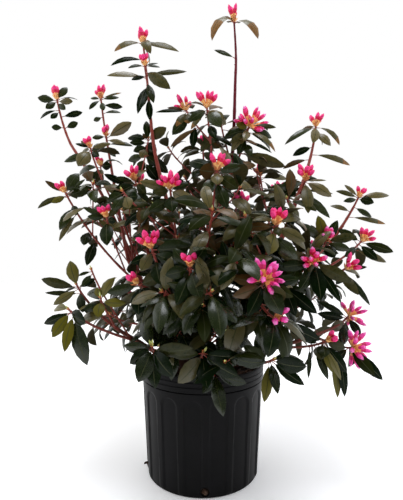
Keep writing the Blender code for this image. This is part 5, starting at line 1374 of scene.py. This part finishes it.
def chip(heap, middle, rng, size=1.0):
    """A splinter of bark: a crooked slab of six faces."""
    turn = (Matrix.Rotation(any_turn(rng), 3, "Z") @ Matrix.Rotation(rng.uniform(-0.5, 0.5), 3, "X")
            @ Matrix.Rotation(rng.uniform(-0.4, 0.4), 3, "Y"))
    half = Vector((rng.uniform(0.003, 0.009), rng.uniform(0.002, 0.004), rng.uniform(0.0008, 0.002))) * size
    verts = []
    for sz in (-1, 1):
        for sx, sy in ((-1, -1), (1, -1), (1, 1), (-1, 1)):
            corner = Vector((sx * half.x * rng.uniform(0.6, 1.1), sy * half.y * rng.uniform(0.5, 1.1),
                             sz * half.z))
            verts.append(middle + turn @ corner)
    faces = [(3, 2, 1, 0), (4, 5, 6, 7), (0, 1, 5, 4), (1, 2, 6, 5), (2, 3, 7, 6), (3, 0, 4, 7)]
    heap.add(verts, faces, rng.randrange(3))


class RHODO_OT_limbs(MakesPiece, bpy.types.Operator):
    """Draw the stems and boughs as tapering curves and give them their bark"""
    bl_idname = "rhodo.limbs"
    bl_label = "Stems and boughs"

    def execute(self, context):
        colours = context.scene.rhodo_colours
        red = rind("rind_of_stems", colours.rind_red, colours.rind_brown, 0.28, 0.52)
        maroon = rind("rind_of_spire", colours.rind_maroon, colours.rind_brown, 0.35, 0.62)
        limbs, _ = grown()
        for number, (name, stem) in enumerate(limbs.items()):
            obj = bark_limb(name + "_bark", stem, 0.0 if name.endswith("_bough") else SOIL_FLARE, number)
            obj.data.materials.append(maroon if name == "spire_stem" else red)
            ride(obj, "bark", name)
        return {"FINISHED"}


SOIL_FLARE = 0.55                   # how much wider a stem stands on the soil


def bark_limb(name, stem, flare, seed):
    """One limb: a curve with the stem's radius at each point, swollen at its joints and flared at its foot,
    made a mesh with bark relief."""
    rng = random.Random(700 + seed)
    deselect()
    bpy.ops.curve.primitive_nurbs_path_add(location=(0, 0, 0))
    obj = bpy.context.object
    curve = obj.data
    curve.splines.clear()
    line = curve.splines.new("POLY")
    line.points.add(len(stem.path) - 1)
    joints = [rng.uniform(0.03, 0.07)]          # where each year's growth began
    while joints[-1] < stem.total:
        joints.append(joints[-1] + rng.uniform(0.035, 0.075))
    for point, place, radius, s in zip(line.points, stem.path, stem.radii, stem.lengths):
        knuckle = sum(math.exp(-((s - j) / 0.0035) ** 2) for j in joints)
        foot = flare * math.exp(-max(0.0, s - 0.012) / 0.016)
        point.co = (*place, 1.0)
        point.radius = radius * (1.0 + foot + 0.13 * knuckle + rng.uniform(-0.025, 0.025))
    curve.dimensions = "3D"
    curve.bevel_depth = 1.0
    curve.bevel_resolution = 4
    curve.use_fill_caps = True
    bpy.ops.object.convert(target="MESH")
    obj = bpy.context.object
    bpy.ops.object.mode_set(mode="EDIT")
    bpy.ops.mesh.select_all(action="SELECT")
    bpy.ops.mesh.remove_doubles(threshold=0.00001)
    bpy.ops.mesh.normals_make_consistent(inside=False)
    bpy.ops.object.mode_set(mode="OBJECT")
    relief_by_clouds(obj, name + "_relief", 0.0045, 0.0011, 0.5)
    smooth(obj, 60.0)
    obj.data.materials.clear()
    return settle(obj, name)


class RHODO_OT_twigs(MakesPiece, bpy.types.Operator):
    """Grow the leaders and twigs of every mass from the limbs"""
    bl_idname = "rhodo.twigs"
    bl_label = "Twigs"

    def execute(self, context):
        colours = context.scene.rhodo_colours
        red = rind("rind_of_twigs", colours.rind_red, colours.rind_brown, 0.20, 0.48)
        maroon = rind("rind_of_spire_shoot", colours.rind_maroon, colours.rind_maroon, 0.30, 0.60)
        twigs = Heap()
        _, shoots = grown()
        for shoot in shoots:
            stem = shoot.stem
            rng = random.Random(900 + shoot.seed)
            slot = 1 if shoot.mass == "spire" else 0
            radii = [r * (1.0 + (0.10 if k % 3 == 1 else 0.0) + rng.uniform(-0.04, 0.04))
                     for k, r in enumerate(stem.radii)]
            rod(twigs, stem.path, radii, 8 if shoot.rank == "leader" else 6, slot)
            old_leaf_stubs(twigs, stem, rng, slot)
        ride(twigs.piece("twigs", [red, maroon], 70.0), "bark")
        return {"FINISHED"}


def old_leaf_stubs(heap, stem, rng, slot):
    """Short stubs where old leaves have dropped from the bare part of a shoot."""
    s, turn = 0.02, any_turn(rng)
    while s < stem.total * 0.6:
        point, tangent, radius = stem.at(s)
        way = (out_of(tangent, turn) + tangent * 0.6).normalized()
        rod(heap, [point, point + way * (radius + 0.0016)], [radius * 0.55, radius * 0.28], 5, slot)
        s += rng.uniform(0.012, 0.024)
        turn += GOLDEN


class RHODO_OT_leaves(MakesPiece, bpy.types.Operator):
    """Set the leaves round every shoot"""
    bl_idname = "rhodo.leaves"
    bl_label = "Leaves"

    def execute(self, context):
        sizes, colours = context.scene.rhodo_plant, context.scene.rhodo_colours
        leaves, stalks = Heap(), Heap()
        _, shoots = grown()
        for shoot in shoots:
            for place in leaf_places(shoot, sizes.leaf_length, sizes.leaf_share):
                stalked_leaf(leaves, stalks, place, sizes.leaf_thickness)
        blades = [waxy_leaf("waxed_leaf_dark", colours.leaf_dark, 0.25, colours.leaf_green),
                  waxy_leaf("waxed_leaf_green", colours.leaf_green, 0.32, colours.leaf_fresh),
                  waxy_leaf("waxed_leaf_bronze", colours.leaf_bronze, 0.42, colours.leaf_brown),
                  waxy_leaf("waxed_leaf_olive", colours.leaf_olive, 0.38, colours.leaf_fresh),
                  waxy_leaf("drying_leaf_tip", colours.leaf_tan, 0.55),
                  waxy_leaf("leaf_rib", colours.leaf_rib, 0.50),
                  dull_leaf_underside("scaly_underside", colours.leaf_under),
                  dull_leaf_underside("tan_underside", colours.leaf_tan)]
        ride(leaves.piece("leaves", blades, 55.0), "foliage", *[row[0] for row in MASSES])
        reds = [grained("leaf_stalk", colours.rind_red, spread=0.2, grain_mm=6.0, rough=0.5, IOR=1.45,
                        Metallic=0.0)]
        ride(stalks.piece("leaf_stalks", reds, 70.0), "foliage")
        return {"FINISHED"}


class RHODO_OT_blossom(MakesPiece, bpy.types.Operator):
    """Put the closed flowers, their scales and the new growth on the shoots"""
    bl_idname = "rhodo.blossom"
    bl_label = "Blossom"

    def execute(self, context):
        sizes, colours = context.scene.rhodo_plant, context.scene.rhodo_colours
        petals, scales, growth = Heap(), Heap(), Heap()
        _, shoots = grown()
        for shoot in shoots:
            if shoot.buds:
                flower_head(petals, scales, shoot, sizes.bud_length, sizes.bud_width)
            else:
                leafy_head(scales, growth, shoot)
        pinks = [petal("petal_" + part, getattr(colours, "petal_" + part))
                 for part in ("foot", "deep", "pink", "pale", "plum", "lilac")]
        ride(petals.piece("closed_flowers", pinks, 75.0), "foliage")
        papers = [bud_scale("fresh_scale", colours.scale_apricot),
                  bud_scale("dry_scale", colours.scale_brown)]
        ride(scales.piece("bud_scales", papers, 60.0), "foliage")
        ride(growth.piece("new_growth", [bud_scale("new_leaf", colours.growth)], 60.0), "foliage")
        return {"FINISHED"}


WHITE = (1.0, 1.0, 1.0, 1.0)
BUSH_MIDDLE = Vector((0.0, 0.0, 0.5))       # what the lights look at


class RHODO_OT_stage(MakesPiece, bpy.types.Operator):
    """Lay the studio floor, hang the lights and set up the camera"""
    bl_idname = "rhodo.stage"
    bl_label = "Stage"

    def execute(self, context):
        stage, colours = context.scene.rhodo_stage, context.scene.rhodo_colours
        deselect()
        bpy.ops.mesh.primitive_plane_add(size=14.0, location=(0.0, 0.0, -0.0004))
        floor = settle(context.object, "studio_floor")
        floor.data.materials.append(grained(
            "matt_floor_paint", colours.floor, spread=0.01, grain_mm=60.0, rough=0.85, rough_spread=0.03,
            IOR=1.45, Emission_Color=WHITE, Emission_Strength=0.19))
        for name, place, size, power, tone in (
                ("left_softbox", (-2.3, -0.5, 1.5), 1.8, stage.side_light, "#F4F6FF"),
                ("right_softbox", (2.3, -0.3, 1.5), 1.8, stage.side_light, "#E2ECFF"),
                ("top_softbox", (0.0, -0.6, 3.0), 1.3, stage.top_light, "#F6F9FF")):
            light = bpy.data.lights.new(name, "AREA")
            light.shape = "SQUARE"
            light.size = size
            light.energy = power
            light.color = linear(tone)
            lamp = bpy.data.objects.new(name, light)
            lamp.location = place
            lamp.rotation_euler = (BUSH_MIDDLE - Vector(place)).to_track_quat("-Z", "Y").to_euler()
            context.scene.collection.objects.link(lamp)
        studio_world(context.scene)
        camera = bpy.data.cameras.new("camera")
        camera.lens = stage.lens
        camera.shift_x = -0.0024
        camera.shift_y = 0.016
        rig = bpy.data.objects.new("camera", camera)
        rig.location = (0.0, -stage.camera_back, stage.camera_height)
        rig.rotation_euler = (math.radians(90.0), 0.0, 0.0)
        context.scene.collection.objects.link(rig)
        context.scene.camera = rig
        context.scene.view_settings.view_transform = "Standard"
        return {"FINISHED"}


def studio_world(scene):
    """White all round to the eye; as light, a bright wall behind and a dimmer room in front."""
    world = bpy.data.worlds.new("studio")
    world.use_nodes = True
    tree = world.node_tree
    tree.nodes.clear()
    coords = add_node(tree, "TexCoord")
    split = add_node(tree, "SeparateXYZ", links={"Vector": coords.outputs["Generated"]})
    behind = add_node(tree, "MapRange", {"From Min": -1.0, "From Max": 1.0, "To Min": 0.12, "To Max": 1.60},
                      {"Value": split.outputs["Y"]})
    glow = add_node(tree, "Background", {"Color": WHITE}, {"Strength": behind.outputs["Result"]})
    white = add_node(tree, "Background", {"Color": WHITE, "Strength": 1.0})
    path = add_node(tree, "LightPath")
    mix = add_node(tree, "MixShader", links={0: path.outputs["Is Camera Ray"], 1: glow.outputs["Background"],
                                             2: white.outputs["Background"]})
    add_node(tree, "OutputWorld", links={"Surface": mix.outputs["Shader"]})
    scene.world = world


# ---------------------------------------------------------------- panel and registration
class RHODO_PT_panel(bpy.types.Panel):
    """Sizes, colours and pieces of the plant"""
    bl_label = "Potted rhododendron"
    bl_idname = "RHODO_PT_panel"
    bl_space_type = "VIEW_3D"
    bl_region_type = "UI"
    bl_category = "Rhododendron"

    def draw(self, context):
        layout = self.layout
        for group in SETTINGS:
            box = layout.box()
            box.label(text=group.removeprefix("rhodo_").capitalize())
            settings = getattr(context.scene, group)
            for key in settings.__annotations__:
                box.prop(settings, key)
        for operator in PIECES:
            layout.operator(operator.bl_idname)


SETTINGS = {"rhodo_pot": PotSizes, "rhodo_plant": PlantSizes, "rhodo_colours": Colours,
            "rhodo_stage": StageSizes}
PIECES = (RHODO_OT_stage, RHODO_OT_pot, RHODO_OT_soil, RHODO_OT_limbs, RHODO_OT_twigs, RHODO_OT_leaves,
          RHODO_OT_blossom)


def register():
    for group in SETTINGS.values():
        bpy.utils.register_class(group)
    for name, group in SETTINGS.items():
        setattr(bpy.types.Scene, name, PointerProperty(type=group))
    for made in (*PIECES, RHODO_PT_panel):
        bpy.utils.register_class(made)


def unregister():
    for made in (RHODO_PT_panel, *reversed(PIECES)):
        bpy.utils.unregister_class(made)
    for name in SETTINGS:
        delattr(bpy.types.Scene, name)
    for group in SETTINGS.values():
        bpy.utils.unregister_class(group)


def main():
    """Build every piece in turn."""
    register()
    bpy.ops.rhodo.stage()
    bpy.ops.rhodo.pot()
    bpy.ops.rhodo.soil()
    bpy.ops.rhodo.limbs()
    bpy.ops.rhodo.twigs()
    bpy.ops.rhodo.leaves()
    bpy.ops.rhodo.blossom()


if __name__ == "__main__":
    main()
